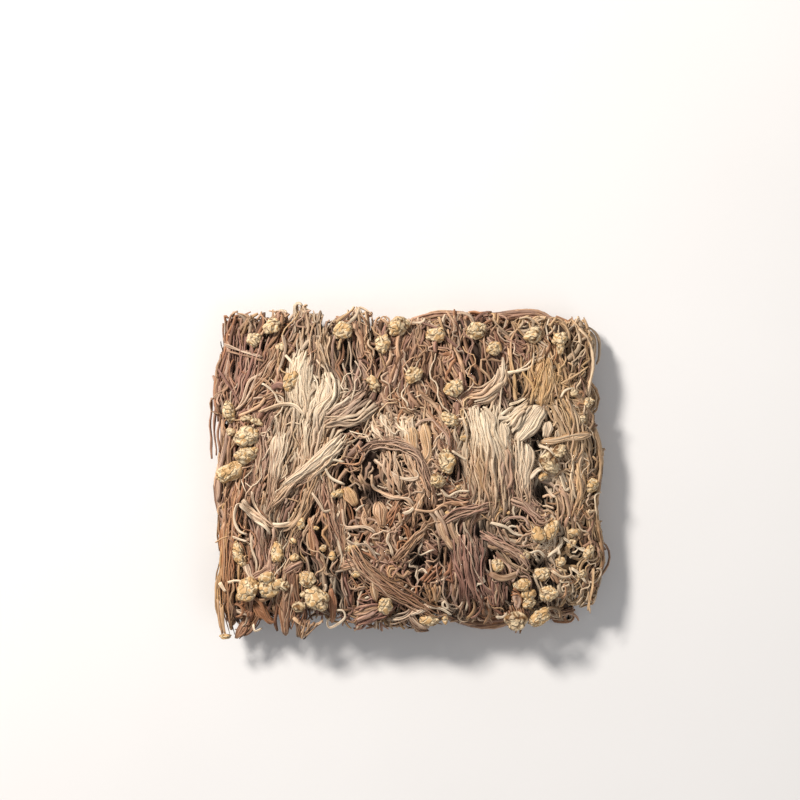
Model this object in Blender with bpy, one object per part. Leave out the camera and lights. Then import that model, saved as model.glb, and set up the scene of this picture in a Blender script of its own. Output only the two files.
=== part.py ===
"""A bunch of dried enoki mushrooms, pressed flat and lying on a surface.

The bunch is a stack of small clumps. A clump is a tuft of thin stems grown together at
the root and spreading towards wrinkled caps. The upper clumps lie in columns along Y,
and the clumps under them lie in rows along X with their caps at the two long edges.
Blender units are metres; every length below is in millimetres and is scaled once, when
a mesh is made. The origin is on the surface, under the middle of the bunch, with +Z up.
"""

import math
from dataclasses import dataclass

import bmesh
import bpy
import numpy as np
from mathutils import Vector

MM = 0.001

# The whole bunch, in millimetres
CREST_HEIGHT = 29.0
EDGE_HEIGHT = 13.0
HALF_WIDTH = 90.0
HALF_LENGTH = 82.0
MIDDLE_Y = -4.0
LAYER_SPLIT = 0.45
CLEARANCE = 0.42
PRESSED_DEPTH = 0.9
CENTRING = (-0.2, 2.6)
WELD_DISTANCE = 0.0002

# The cross-section of a clump's core, in the clump's own u and v. The stems stand out of
# the side that faces away from the middle of the stack.
SECTION_POWER = 3.2
SECTION_STEPS = 181
WAIST_V = -0.2
BACK_V = -0.95
BACK_U = (0.82, 0.0, -0.82)
UPPER_RIDGE_V = 0.84
UNDER_RIDGE_V = 0.97

# How a core's width and thickness change from its root (0) to its head (1)
STATION_SPACING = 11.5
TAPER_AT = (0.0, 0.07, 0.5, 0.84, 1.0)
TAPER_WIDTH = (0.88, 0.99, 1.0, 0.97, 0.74)
TAPER_DEPTH = (0.70, 0.97, 1.0, 0.90, 0.52)

# The stems as ridges of a core: the valleys between them in millimetres, how unevenly the
# stems stand out, and how far they sway together and singly as a share of their spacing
VALLEY_DEPTH = 1.9
UNEVENNESS = 0.35
VALLEY_NARROWING = 0.6
LEAST_RISE = 0.3
SWAY, SWAY_TURNS = 0.9, 1.3
WOBBLE, WOBBLE_TURNS = 0.35, 2.1
FLAT_SPOT_RADIUS = 7.0
FLAT_SPOT_FADE = 3.0

# How far a core's ends are frayed, in millimetres
ROOT_FRAY = 1.5
ROOT_HOLLOW = 2.0
STEM_FRAY = 4.0
VALLEY_FRAY = (2.0, 5.0)
HEAD_HOLLOW = 5.0

# Single stems, in millimetres: how deep they start in a core and how high they lie on it.
# Past DROOP_AT of a clump's length they droop.
STEM_SIDES = 3
STEM_RADIUS = 1.2
STEM_TAPER = ((0, 0.8, 1), (1.1, 1.0, 0.75))
STEM_START = -1.6
STEM_LIFT = 0.5
STEM_WANDER = 0.3
STEM_OVERHANG = (3.0, 8.0)
MARGIN = 0.3
DROOP_AT = 0.9
DROOP = 2.2

# Caps, as shares of a cap's diameter
CAP_SIDES = 6
CAP_LATITUDES = np.radians((-30, 22))
CAP_UNEVENNESS = 0.14
CAP_HEIGHT = 0.36
CAP_BASE, CAP_PEAK = -0.30, 0.33
CAP_LIFT = 0.18
CAP_ROOM = 0.9
CAP_STEM_SPAN = 0.2
EDGE_CAPS_U = (-0.55, 0.5)
EDGE_CAP_DIAMETERS = (6.0, 8.5)

# The seams between the columns of upper clumps: X at five places along Y
SEAM_STATIONS = (72.0, 40.0, 0.0, -40.0, -80.0)
SEAMS = (
    (-84.0, -86.5, -87.0, -85.0, -81.5),
    (-50.5, -56.5, -69.0, -71.5, -73.5),
    (-39.0, -39.0, -42.5, -49.0, -53.5),
    (-19.5, -18.5, -25.5, -29.0, -34.0),
    (-3.0, -0.5, -2.5, -7.5, -13.0),
    (14.0, 20.5, 21.0, 15.0, 8.5),
    (44.5, 44.5, 45.0, 42.0, 37.5),
    (64.0, 66.0, 66.0, 68.0, 66.0),
    (80.5, 82.5, 86.0, 87.0, 82.5),
)
SEAM_CURVES = tuple(np.polyfit(SEAM_STATIONS, seam, 4) for seam in SEAMS)
WAVE_HEIGHT = 1.9
WAVE_LENGTH = 47.0
WAVE_PHASE = 1.7
ROOT_WAVE_HEIGHT = 2.9
ROOT_WAVE_LENGTH = 31.0

# The rows of clumps that lie underneath: Y of the edges between them, X where the roots
# of a row's two clumps meet, and X of its heads
ROW_EDGES = (66.0, 34.0, -2.0, -37.0, -68.0)
ROW_MEETING_X = (-9.0, 8.0, -6.0, 12.0)
ROW_HEAD_X = (76.0, 82.0, 82.0, 74.0)
ROW_SWAY_HEIGHT = 5.0
ROW_SWAY_LENGTH = 150.0
ROW_SWAY_PHASE = 0.7
ROOT_GAP = 0.8

# Colour, roughness of each finish
FINISHES = {
    "mauve_brown": ((0.30, 0.19, 0.145), 0.68),
    "pale_straw": ((0.52, 0.41, 0.31), 0.64),
    "golden_tan": ((0.42, 0.29, 0.18), 0.66),
}


@dataclass(frozen=True)
class ColumnClump:
    """An upper clump between two seams, from its root's Y to its head's Y."""

    name: str
    left: int
    right: int
    root: float
    head: float
    finish: str
    ridges: int
    stems: int
    seed: int
    facing = 1
    ridge_v = UPPER_RIDGE_V

    def place(self, t, u, v):
        """Points at t along the clump, u across it and v up through it (u, v from -1 to 1)."""
        t, u, v = np.broadcast_arrays(t, u, v)
        root = self.root_y(u)
        y = root + (self.head - root) * t
        low = seam_x(self.left, y) + CLEARANCE
        high = seam_x(self.right, y) - CLEARANCE
        x = low + (high - low) * (u + 1) / 2
        top = crest(x, y)
        floor = LAYER_SPLIT * top + CLEARANCE
        return np.stack([x, y, floor + (top - floor) * (v + 1) / 2], axis=-1)

    def locate(self, x, y):
        """The (t, u) of a spot seen from above."""
        low, high = seam_x(self.left, y), seam_x(self.right, y)
        u = 2 * (x - low) / (high - low) - 1
        root = self.root_y(u)
        return (y - root) / (self.head - root), u

    def root_y(self, u):
        """Y of the root end at u, along a wavy line on which facing roots interlock."""
        low, high = seam_x(self.left, self.root), seam_x(self.right, self.root)
        x = low + (high - low) * (u + 1) / 2
        return self.root + ROOT_WAVE_HEIGHT * np.sin(2 * math.pi * x / ROOT_WAVE_LENGTH)


@dataclass(frozen=True)
class RowClump:
    """A clump underneath, in one row, from its root near the middle to its head at an edge."""

    name: str
    row: int
    side: int
    finish: str
    ridges: int
    stems: int
    seed: int
    facing = -1
    ridge_v = UNDER_RIDGE_V

    def place(self, t, u, v):
        """Points at t along the clump, u across it and v up through it (u, v from -1 to 1)."""
        t, u, v = np.broadcast_arrays(t, u, v)
        root = ROW_MEETING_X[self.row] + self.side * ROOT_GAP
        x = root + (self.side * ROW_HEAD_X[self.row] - root) * t
        low = row_edge_y(self.row + 1, x) + CLEARANCE
        high = row_edge_y(self.row, x) - CLEARANCE
        y = low + (high - low) * (u + 1) / 2
        top = LAYER_SPLIT * crest(x, y) - CLEARANCE
        return np.stack([x, y, -PRESSED_DEPTH + (top + PRESSED_DEPTH) * (v + 1) / 2], axis=-1)


@dataclass(frozen=True)
class CapSpot:
    """Where a cap shows from above, and its diameter."""

    x: float
    y: float
    diameter: float


UPPER_CLUMPS = (
    ColumnClump("upper_left_clump", 0, 1, 19.7, 67.0, "mauve_brown", 10, 3, 11),
    ColumnClump("left_edge_clump", 0, 1, 18.5, -70.0, "mauve_brown", 7, 2, 12),
    ColumnClump("pale_left_clump", 1, 2, 69.0, -64.0, "pale_straw", 8, 2, 13),
    ColumnClump("pale_middle_clump", 2, 3, 66.0, -68.0, "pale_straw", 8, 3, 14),
    ColumnClump("tangled_left_clump", 3, 4, 21.6, -70.0, "mauve_brown", 8, 3, 15),
    ColumnClump("tangled_right_clump", 4, 5, 21.6, -71.0, "mauve_brown", 9, 3, 16),
    ColumnClump("cream_root_clump", 5, 6, 27.8, -67.0, "pale_straw", 10, 2, 17),
    ColumnClump("pale_right_clump", 6, 7, 28.6, -66.0, "pale_straw", 9, 2, 18),
    ColumnClump("right_edge_clump", 7, 8, 28.6, -60.0, "golden_tan", 7, 3, 19),
    ColumnClump("upper_middle_clump", 3, 5, 23.4, 64.0, "mauve_brown", 12, 3, 20),
    ColumnClump("upper_right_clump", 5, 6, 29.0, 67.0, "mauve_brown", 10, 3, 21),
    ColumnClump("golden_clump", 6, 8, 29.8, 64.0, "golden_tan", 12, 3, 27),
)
UNDER_CLUMPS = tuple(
    RowClump(f"under_{side_name}_clump_{row + 1}", row, side, finish, 11, 1, 160 + 4 * index + row)
    for index, (side_name, side) in enumerate((("left", -1), ("right", 1)))
    for row, finish in enumerate(("mauve_brown", "golden_tan", "mauve_brown", "mauve_brown"))
)
CAP_SPOTS = (
    CapSpot(-53, 39, 7.5),
    CapSpot(-80, 15, 7.5),
    CapSpot(-75, 6, 9),
    CapSpot(-80, -3, 10),
    CapSpot(-59, -37, 8),
    CapSpot(-77, -55, 9.5),
    CapSpot(-64, -54, 9),
    CapSpot(-42, -58, 9.5),
    CapSpot(-47, -70, 8.5),
    CapSpot(-28, -70, 7),
    CapSpot(-58, 24, 8.5),
    CapSpot(-11, -62, 7.5),
    CapSpot(-10, 2, 9),
    CapSpot(16, 21, 7),
    CapSpot(16, 5, 8.5),
    CapSpot(72, 6, 7),
    CapSpot(61, 3, 7.5),
    CapSpot(80, -7, 7),
    CapSpot(57, -30, 8),
    CapSpot(54, -59, 8),
    CapSpot(63, -55, 8),
    CapSpot(77, -36, 7),
    CapSpot(48, -69, 10),
    CapSpot(66, 60, 6.5),
    CapSpot(-62, 62, 7),
    CapSpot(30, 60, 7),
    CapSpot(-5, 62, 8),
)


def wave(along, index):
    """How far a seam strays from its course, which gives the stems beside it their waves."""
    return WAVE_HEIGHT * np.sin(2 * math.pi * along / WAVE_LENGTH + WAVE_PHASE * index)


def seam_x(index, y):
    """X of a seam between two columns of upper clumps, at Y."""
    return np.polyval(SEAM_CURVES[index], y) + wave(y, index)


def row_edge_y(index, x):
    """Y of the edge between two rows of clumps underneath, at X."""
    sway = np.sin(2 * math.pi * x / ROW_SWAY_LENGTH + ROW_SWAY_PHASE * index)
    return ROW_EDGES[index] + ROW_SWAY_HEIGHT * sway + wave(x, index)


def crest(x, y):
    """Height of the bunch's top at a spot: a low dome that keeps a thick edge."""
    across = np.clip(np.abs(x) / HALF_WIDTH, 0, 1) ** 3
    along = np.clip(np.abs(y - MIDDLE_Y) / HALF_LENGTH, 0, 1) ** 3
    return EDGE_HEIGHT + (CREST_HEIGHT - EDGE_HEIGHT) * (1 - across) * (1 - along)


def half_sizes(clump, t):
    """Half the width and half the thickness of the clump's space at t."""
    left, right = clump.place(t, -1.0, 0.0), clump.place(t, 1.0, 0.0)
    low, high = clump.place(t, 0.0, -1.0), clump.place(t, 0.0, 1.0)
    return np.linalg.norm(right - left) / 2, np.linalg.norm(high - low) / 2


def surface_v(clump, t, u):
    """The v of the core's ridged side at a spot: a superellipse over the core's waist."""
    reach = np.interp(t, TAPER_AT, TAPER_WIDTH)
    rise = (1 - np.clip(np.abs(u) / reach, 0, 1) ** SECTION_POWER) ** (1 / SECTION_POWER)
    height = (clump.ridge_v - WAIST_V) * np.interp(t, TAPER_AT, TAPER_DEPTH)
    return clump.facing * (WAIST_V + height * rise)


def ridged_section(clump, t, places):
    """The u and the rise above the waist at places from -1 to 1, even along the ridged side."""
    half_width, half_depth = half_sizes(clump, t)
    turn = np.linspace(math.pi, 0, SECTION_STEPS)
    u = np.sign(np.cos(turn)) * np.abs(np.cos(turn)) ** (2 / SECTION_POWER)
    u *= np.interp(t, TAPER_AT, TAPER_WIDTH)
    rise = np.abs(np.sin(turn)) ** (2 / SECTION_POWER)
    rise *= (clump.ridge_v - WAIST_V) * np.interp(t, TAPER_AT, TAPER_DEPTH)
    steps = np.hypot(np.diff(u) * half_width, np.diff(rise) * half_depth)
    arc = np.concatenate([[0], np.cumsum(steps)])
    wanted = (places + 1) / 2 * arc[-1]
    return np.interp(wanted, arc, u), np.interp(wanted, arc, rise)


def mesh_object(name, points, faces):
    """An object from points in millimetres: none below the surface, faces turned outwards."""
    mesh = bpy.data.meshes.new(name)
    placed = np.asarray(points) + (*CENTRING, 0.0)
    placed[:, 2] = np.maximum(placed[:, 2], 0.0)
    mesh.from_pydata([tuple(point) for point in placed * MM], [], faces)
    shell = bmesh.new()
    shell.from_mesh(mesh)
    bmesh.ops.triangulate(shell, faces=shell.faces[:])
    bmesh.ops.recalc_face_normals(shell, faces=shell.faces[:])
    shell.to_mesh(mesh)
    shell.free()
    return bpy.data.objects.new(name, mesh)


def closed_rings(rings, first_tip, last_tip):
    """Points and faces of a skin over equal rings, closed by a tip at each end."""
    count, sides = rings.shape[:2]
    points = np.concatenate([rings.reshape(-1, 3), [first_tip], [last_tip]])
    faces = []
    for ring in range(count - 1):
        for side in range(sides):
            a = ring * sides + side
            b = ring * sides + (side + 1) % sides
            faces.append((a, b, b + sides, a + sides))
    first, last = count * sides, count * sides + 1
    tail = (count - 1) * sides
    for side in range(sides):
        after = (side + 1) % sides
        faces.append((first, after, side))
        faces.append((last, tail + side, tail + after))
    return points, faces


def length_of(clump):
    """The clump's length along its middle, in millimetres."""
    return np.linalg.norm(clump.place(1.0, 0.0, 0.0) - clump.place(0.0, 0.0, 0.0))


def fade_flat(clump, t, u, depth):
    """The valleys' depth, faded to nothing round the spot on which the clump rests."""
    spot = clump.place(t, u, -1.0)
    middle = clump.place(0.5, 0.0, -1.0)
    away = np.linalg.norm(spot[:, :2] - middle[:2], axis=1)
    return depth * np.clip((away - FLAT_SPOT_RADIUS) / FLAT_SPOT_FADE, 0, 1)


def swayed(across, t, phases):
    """The places of the stems and valleys across a core at t, swayed together and singly."""
    together = SWAY * np.sin(2 * math.pi * (SWAY_TURNS * t + phases[0]))
    singly = WOBBLE * np.sin(2 * math.pi * (WOBBLE_TURNS * t + phases))
    spacing = across[1] - across[0]
    return across + spacing * (together + singly) * (1 - across**2)


def core_object(clump, rng):
    """The clump's fused middle, with its stems as ridges and its head frayed into fingers."""
    length = length_of(clump)
    stations = np.linspace(0, 1, max(5, int(length / STATION_SPACING)))
    across = np.linspace(-1, 1, 2 * clump.ridges + 1)
    is_stem = np.arange(len(across)) % 2 == 0
    phases = rng.uniform(0, 1, len(across))
    rings = []
    for index, t in enumerate(stations):
        half_width, half_depth = half_sizes(clump, t)
        u, rise = ridged_section(clump, t, swayed(across, t, phases))
        depth = VALLEY_DEPTH * np.where(is_stem, rng.uniform(0, UNEVENNESS, len(across)), 1.0)
        depth[[0, -1]] = 0
        if clump.facing < 0:
            depth = fade_flat(clump, t, u, depth)
        v = clump.facing * (WAIST_V + np.maximum(rise - depth / half_depth, LEAST_RISE * rise))
        u = u * (1 - VALLEY_NARROWING * depth / half_width)
        u = np.concatenate([u, np.interp(t, TAPER_AT, TAPER_WIDTH) * np.array(BACK_U)])
        v = np.concatenate([v, np.full(len(BACK_U), clump.facing * BACK_V)])
        frayed = np.zeros(len(u))
        if index == 0:
            frayed = rng.uniform(0, ROOT_FRAY, len(u))
        if index == len(stations) - 1:
            out, back = rng.uniform(0, STEM_FRAY, len(across)), rng.uniform(*VALLEY_FRAY, len(across))
            frayed[: len(across)] = np.where(is_stem, out, -back)
        rings.append(clump.place(t + frayed / length, u, v))
    waist = clump.facing * WAIST_V
    first_tip = clump.place(ROOT_HOLLOW / length, 0.0, waist)
    last_tip = clump.place(1 - HEAD_HOLLOW / length, 0.0, waist)
    return mesh_object(clump.name, *closed_rings(np.array(rings), first_tip, last_tip))


def stem_object(path):
    """A single three-sided stem along a path, closed at both ends."""
    tangents = np.gradient(path, axis=0)
    tangents /= np.linalg.norm(tangents, axis=1, keepdims=True)
    across = np.cross(tangents, (0.0, 0.0, 1.0))
    across /= np.linalg.norm(across, axis=1, keepdims=True)
    up = np.cross(across, tangents)
    turn = 2 * math.pi * np.arange(STEM_SIDES) / STEM_SIDES + math.pi / 2
    size = STEM_RADIUS * np.interp(np.linspace(0, 1, len(path)), *STEM_TAPER)
    offsets = np.cos(turn)[None, :, None] * across[:, None] + np.sin(turn)[None, :, None] * up[:, None]
    rings = path[:, None] + size[:, None, None] * offsets
    return mesh_object("stem", *closed_rings(rings, path[0], path[-1]))


def cap_object(centre, diameter, facing, rng):
    """A shrivelled cap: a low dome of six uneven lobes, tilted to face a direction."""
    turn = 2 * math.pi * np.arange(CAP_SIDES) / CAP_SIDES
    lobes = rng.uniform(1 - CAP_UNEVENNESS, 1 + CAP_UNEVENNESS, (len(CAP_LATITUDES), CAP_SIDES))
    reach = diameter / 2 * np.cos(CAP_LATITUDES)[:, None] * lobes
    rise = np.broadcast_to(CAP_HEIGHT * diameter * np.sin(CAP_LATITUDES)[:, None], reach.shape)
    rings = np.stack([reach * np.cos(turn), reach * np.sin(turn), rise], axis=-1)
    points, faces = closed_rings(rings, (0, 0, CAP_BASE * diameter), (0, 0, CAP_PEAK * diameter))
    turned = Vector((0, 0, 1)).rotation_difference(Vector(facing)).to_matrix()
    return mesh_object("cap", points @ np.array(turned).T + centre, faces)


def stem_path(clump, start, end, rng, points=4):
    """A stem that leaves the core's surface at its root and wanders over it to a free tip."""
    steps = np.linspace(0, 1, points)
    half_width, half_depth = half_sizes(clump, 0.5)
    reach = 1 - (STEM_RADIUS + MARGIN) / half_width
    t = start[0] + (end[0] - start[0]) * steps
    wander = rng.uniform(-STEM_WANDER, STEM_WANDER) * np.sin(math.pi * steps * rng.uniform(1.0, 2.0))
    u = np.clip(start[1] + (end[1] - start[1]) * steps + wander, -reach, reach)
    lift = np.interp(steps, (0, 0.3, 1), (STEM_START, STEM_LIFT, STEM_LIFT))
    droop = DROOP * np.clip(t - DROOP_AT, 0, 1)
    v = surface_v(clump, np.clip(t, 0, DROOP_AT), u) + clump.facing * (lift / half_depth - droop)
    limit = 1 - STEM_RADIUS / half_depth
    return clump.place(t, u, np.clip(v, -limit, limit))


def single_stems(clump, rng):
    """Stems that cross the clump's surface, most of them passing out of its head."""
    stems = []
    for index in range(clump.stems):
        leaving = index % 3 != 2 or clump.facing < 0
        root = (rng.uniform(0.66, 0.8) if leaving else rng.uniform(0.1, 0.4), rng.uniform(-0.7, 0.7))
        tip = (root[0] + rng.uniform(0.25, 0.36), rng.uniform(-0.85, 0.85))
        if leaving:
            tip = (1 + rng.uniform(*STEM_OVERHANG) / length_of(clump), tip[1])
        stems.append(stem_object(stem_path(clump, root, tip, rng)))
    return stems


def spotted_caps(clump, spots, rng):
    """Caps at the spots seen from above, each on a stem from the core."""
    pieces = []
    for spot in spots:
        t, u = clump.locate(spot.x, spot.y)
        t = max(t, CAP_ROOM * spot.diameter / length_of(clump))
        half_width, half_depth = half_sizes(clump, min(t, 1.0))
        widest = (1 + CAP_UNEVENNESS) * spot.diameter / 2
        limit = 1 - (widest + MARGIN) / half_width
        u = float(np.clip(u, -limit, limit))
        v = float(surface_v(clump, min(t, DROOP_AT), u)) + CAP_LIFT * spot.diameter / half_depth
        centre = clump.place(t, u, v - DROOP * max(0.0, t - DROOP_AT))
        facing = (rng.uniform(-0.5, 0.5), rng.uniform(-0.5, 0.5), 1.0)
        pieces.append(cap_object(centre, spot.diameter, facing, rng))
        root = (t + (-CAP_STEM_SPAN if t > CAP_STEM_SPAN else CAP_STEM_SPAN), u / 2)
        path = stem_path(clump, root, (t, u), rng, points=3)
        path[-1] = centre
        pieces.append(stem_object(path))
    return pieces


def edge_caps(clump, rng):
    """Caps at the head of a clump underneath, facing out past the long edge."""
    pieces = []
    for u in EDGE_CAPS_U:
        diameter = rng.uniform(*EDGE_CAP_DIAMETERS)
        tip = clump.place(1.02, u + rng.uniform(-0.1, 0.1), 0.1)
        root = clump.place(0.78, 0.7 * u, 0.0)
        path = np.linspace(root, tip, 3)
        path[1, 2] += rng.uniform(0, 0.8)
        facing = (clump.side, rng.uniform(-0.4, 0.4), rng.uniform(0.1, 0.8))
        pieces.append(cap_object(tip, diameter, facing, rng))
        pieces.append(stem_object(path))
    return pieces


def apply_modifiers(obj):
    """Replaces the object's mesh by its evaluated one and clears its modifiers."""
    graph = bpy.context.evaluated_depsgraph_get()
    applied = bpy.data.meshes.new_from_object(obj.evaluated_get(graph))
    obj.modifiers.clear()
    obj.data = applied


def volume_of(faces):
    """Six times the volume that a shell's triangles enclose, negative for a cavity."""
    return sum(face.verts[0].co.dot(face.verts[1].co.cross(face.verts[2].co)) for face in faces)


def keep_outer_shell(core):
    """Fills hollows that the union sealed and drops scraps, by keeping the largest shell alone."""
    shell = bmesh.new()
    shell.from_mesh(core.data)
    bmesh.ops.remove_doubles(shell, verts=shell.verts[:], dist=WELD_DISTANCE * MM)
    bmesh.ops.dissolve_degenerate(shell, edges=shell.edges[:], dist=WELD_DISTANCE * MM)
    bmesh.ops.triangulate(shell, faces=shell.faces[:])
    waiting = set(shell.faces)
    shells = []
    while waiting:
        found, edge = set(), [waiting.pop()]
        while edge:
            face = edge.pop()
            found.add(face)
            near = {other for side in face.edges for other in side.link_faces} & waiting
            waiting -= near
            edge.extend(near)
        shells.append(found)
    shells.sort(key=volume_of)
    for inner in shells[:-1]:
        bmesh.ops.delete(shell, geom=list(inner), context="FACES")
    shell.to_mesh(core.data)
    shell.free()


def fuse(core, pieces):
    """Joins stems and caps to the core in one Boolean union, then removes them."""
    group = bpy.data.collections.new("pieces")
    bpy.context.scene.collection.children.link(group)
    for piece in pieces:
        group.objects.link(piece)
    union = core.modifiers.new("union", "BOOLEAN")
    union.operation = "UNION"
    union.operand_type = "COLLECTION"
    union.collection = group
    union.solver = "MANIFOLD"
    apply_modifiers(core)
    for piece in pieces:
        bpy.data.objects.remove(piece)
    bpy.data.collections.remove(group)


def finish_material(name):
    """The Principled BSDF material of a finish."""
    colour, roughness = FINISHES[name]
    material = bpy.data.materials.new(name)
    material.use_nodes = True
    shader = material.node_tree.nodes["Principled BSDF"]
    shader.inputs["Base Color"].default_value = (*colour, 1.0)
    shader.inputs["Roughness"].default_value = roughness
    shader.inputs["Metallic"].default_value = 0.0
    return material


def holds(clump, spot):
    """Whether an upper clump is the one that a cap's spot lies on."""
    t, u = clump.locate(spot.x, spot.y)
    return -1 <= u < 1 and 0 <= t <= 1.12


def build_clump(clump, materials):
    """One clump: its core, its stems and its caps, fused into one solid."""
    rng = np.random.default_rng(clump.seed)
    core = core_object(clump, rng)
    bpy.context.scene.collection.objects.link(core)
    pieces = single_stems(clump, rng)
    if isinstance(clump, RowClump):
        pieces += edge_caps(clump, rng)
    else:
        pieces += spotted_caps(clump, [spot for spot in CAP_SPOTS if holds(clump, spot)], rng)
    fuse(core, pieces)
    keep_outer_shell(core)
    core.data.materials.clear()
    core.data.materials.append(materials[clump.finish])


def main():
    """Clears the scene and builds every clump of the bunch."""
    for obj in list(bpy.data.objects):
        bpy.data.objects.remove(obj)
    materials = {name: finish_material(name) for name in FINISHES}
    for clump in (*UNDER_CLUMPS, *UPPER_CLUMPS):
        build_clump(clump, materials)


main()
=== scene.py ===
"""Looks of a bunch of dried enoki mushrooms that was pressed flat.

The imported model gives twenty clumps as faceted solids. Each clump is dressed with a piece
of fine stems and a piece of caps, which keep the clump's form: dried stems are ribbons
that furrow, twist and curl, and dried caps are small domes wrinkled like a walnut.
Lengths are in millimetres and are scaled once, when a mesh is made. +Z is up, and the
origin is on the surface under the middle of the bunch.
"""

from __future__ import annotations

import logging
import math
from collections.abc import Sequence
from dataclasses import dataclass
from enum import Enum
from typing import TypeVar

import bpy
import numpy as np
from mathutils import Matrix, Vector

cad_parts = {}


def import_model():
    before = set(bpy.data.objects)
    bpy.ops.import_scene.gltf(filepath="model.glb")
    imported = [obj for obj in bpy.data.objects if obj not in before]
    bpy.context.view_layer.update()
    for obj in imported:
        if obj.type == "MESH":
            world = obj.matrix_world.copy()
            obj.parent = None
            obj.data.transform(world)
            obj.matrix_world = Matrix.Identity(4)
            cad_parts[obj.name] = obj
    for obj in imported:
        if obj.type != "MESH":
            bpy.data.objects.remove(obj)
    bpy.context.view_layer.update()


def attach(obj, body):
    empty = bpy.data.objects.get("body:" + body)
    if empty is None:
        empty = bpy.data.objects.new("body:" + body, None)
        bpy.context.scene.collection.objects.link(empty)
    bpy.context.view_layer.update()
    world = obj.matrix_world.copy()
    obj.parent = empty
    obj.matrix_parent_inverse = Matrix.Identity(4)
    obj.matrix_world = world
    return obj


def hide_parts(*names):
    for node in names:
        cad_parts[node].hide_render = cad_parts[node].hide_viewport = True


log = logging.getLogger("enoki")

MM = 0.001
TURN = 2 * math.pi
BODY = "root"

Colour = tuple[float, float, float]
Place = tuple[float, float]
Kind = TypeVar("Kind")


def made(kind: type[Kind], *rows: tuple) -> tuple[Kind, ...]:
    """One of a kind from each row of its values."""
    return tuple(kind(*row) for row in rows)


# The form of the whole bunch, as the solids have it

CREST_HEIGHT = 29.0
EDGE_HEIGHT = 13.0
HALF_WIDTH = 90.0
HALF_LENGTH = 82.0
MIDDLE_Y = -4.0
LAYER_SPLIT = 0.45
CLEARANCE = 0.42
PRESSED_DEPTH = 0.9
CENTRING = np.array((-0.2, 2.6, 0.0))
SEAM_STATIONS = (72.0, 40.0, 0.0, -40.0, -80.0)
SEAMS = (
    (-84.0, -86.5, -87.0, -85.0, -81.5),
    (-50.5, -56.5, -69.0, -71.5, -73.5),
    (-39.0, -39.0, -42.5, -49.0, -53.5),
    (-19.5, -18.5, -25.5, -29.0, -34.0),
    (-3.0, -0.5, -2.5, -7.5, -13.0),
    (14.0, 20.5, 21.0, 15.0, 8.5),
    (44.5, 44.5, 45.0, 42.0, 37.5),
    (64.0, 66.0, 66.0, 68.0, 66.0),
    (80.5, 82.5, 86.0, 87.0, 82.5),
)
SEAM_CURVES = tuple(np.polyfit(SEAM_STATIONS, seam, 4) for seam in SEAMS)
WAVE_HEIGHT = 1.9
WAVE_LENGTH = 47.0
WAVE_PHASE = 1.7
ROOT_WAVE_HEIGHT = 2.9
ROOT_WAVE_LENGTH = 31.0
ROW_EDGES = (66.0, 34.0, -2.0, -37.0, -68.0)
ROW_MEETING_X = (-9.0, 8.0, -6.0, 12.0)
ROW_HEAD_X = (76.0, 82.0, 82.0, 74.0)
ROW_SWAY_HEIGHT = 5.0
ROW_SWAY_LENGTH = 150.0
ROW_SWAY_PHASE = 0.7
ROOT_GAP = 0.8
END_AT = (-72.0, -51.0, -34.0, -20.0, 0.0, 32.0, 55.0, 67.0, 84.0)
LOW_ENDS = (-70.5, -66.0, -68.5, -70.0, -71.0, -68.0, -67.0, -62.0, -55.0)
HIGH_ENDS = (67.0, 69.0, 66.0, 64.5, 64.0, 67.0, 64.5, 64.0, 62.0)
SECTION_POWER = 3.2
WAIST_V = -0.2
RIDGE_V = 0.84
TAPER_AT = (0.0, 0.07, 0.5, 0.84, 1.0)
TAPER_WIDTH = (0.88, 0.99, 1.0, 0.97, 0.74)
TAPER_DEPTH = (0.70, 0.97, 1.0, 0.90, 0.52)
PRESSED_SHARE = 0.955
RIPPLE_HEIGHT = 0.75


# How the stems and caps lie on it

ROOM_OVER_CREST = {"stem": 1.8, "pad": 2.4, "sheaf": 3.0, "loose stem": 3.4, "cap": 4.0}
LOWEST_POINT = 0.05
UV_PER_MM = 0.1
OUTER_SIDE_STEMS = 70
WANDERING_STEPS = 10
TRACED_STEPS = 16
MOST_TURN = 2.6
TURNED_ROUND = 0.25
LEAST_INSIDE = 0.33
CORE_DEPTH = 4.2
CAP_THICKNESS = 0.6
LARGE_CAP = 5.0
UNDER_CAPS = 4


def wave(along: np.ndarray, index: int) -> np.ndarray:
    """How far a seam strays from its course: a sine wave with its own phase."""
    return WAVE_HEIGHT * np.sin(TURN * along / WAVE_LENGTH + WAVE_PHASE * index)


def seam_x(index: int, y: np.ndarray) -> np.ndarray:
    """X of a seam between two columns at Y: a quartic through its stations plus the wave."""
    return np.polyval(SEAM_CURVES[index], y) + wave(y, index)


def row_edge_y(index: int, x: np.ndarray) -> np.ndarray:
    """Y of the edge between two rows underneath at X: a slow sway plus the wave."""
    sway = np.sin(TURN * x / ROW_SWAY_LENGTH + ROW_SWAY_PHASE * index)
    return ROW_EDGES[index] + ROW_SWAY_HEIGHT * sway + wave(x, index)


def crest(x: np.ndarray, y: np.ndarray) -> np.ndarray:
    """Height of the bunch's top: a low dome, cubic towards each side, on a thick edge."""
    across = np.clip(np.abs(x) / HALF_WIDTH, 0, 1) ** 3
    along = np.clip(np.abs(y - MIDDLE_Y) / HALF_LENGTH, 0, 1) ** 3
    return EDGE_HEIGHT + (CREST_HEIGHT - EDGE_HEIGHT) * (1 - across) * (1 - along)


@dataclass(frozen=True)
class Zone:
    """An oval part of the top, strongest in its middle."""

    x: float  # The middle's X
    y: float  # The middle's Y
    half_x: float  # How far it reaches along X
    half_y: float  # How far it reaches along Y
    strength: float  # Its value in the middle

    def at(self, x: np.ndarray, y: np.ndarray) -> np.ndarray:
        """Its value at a spot: a bell curve over the distance from the middle."""
        away = ((x - self.x) / self.half_x) ** 2 + ((y - self.y) / self.half_y) ** 2
        return self.strength * np.exp(-away)


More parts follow.
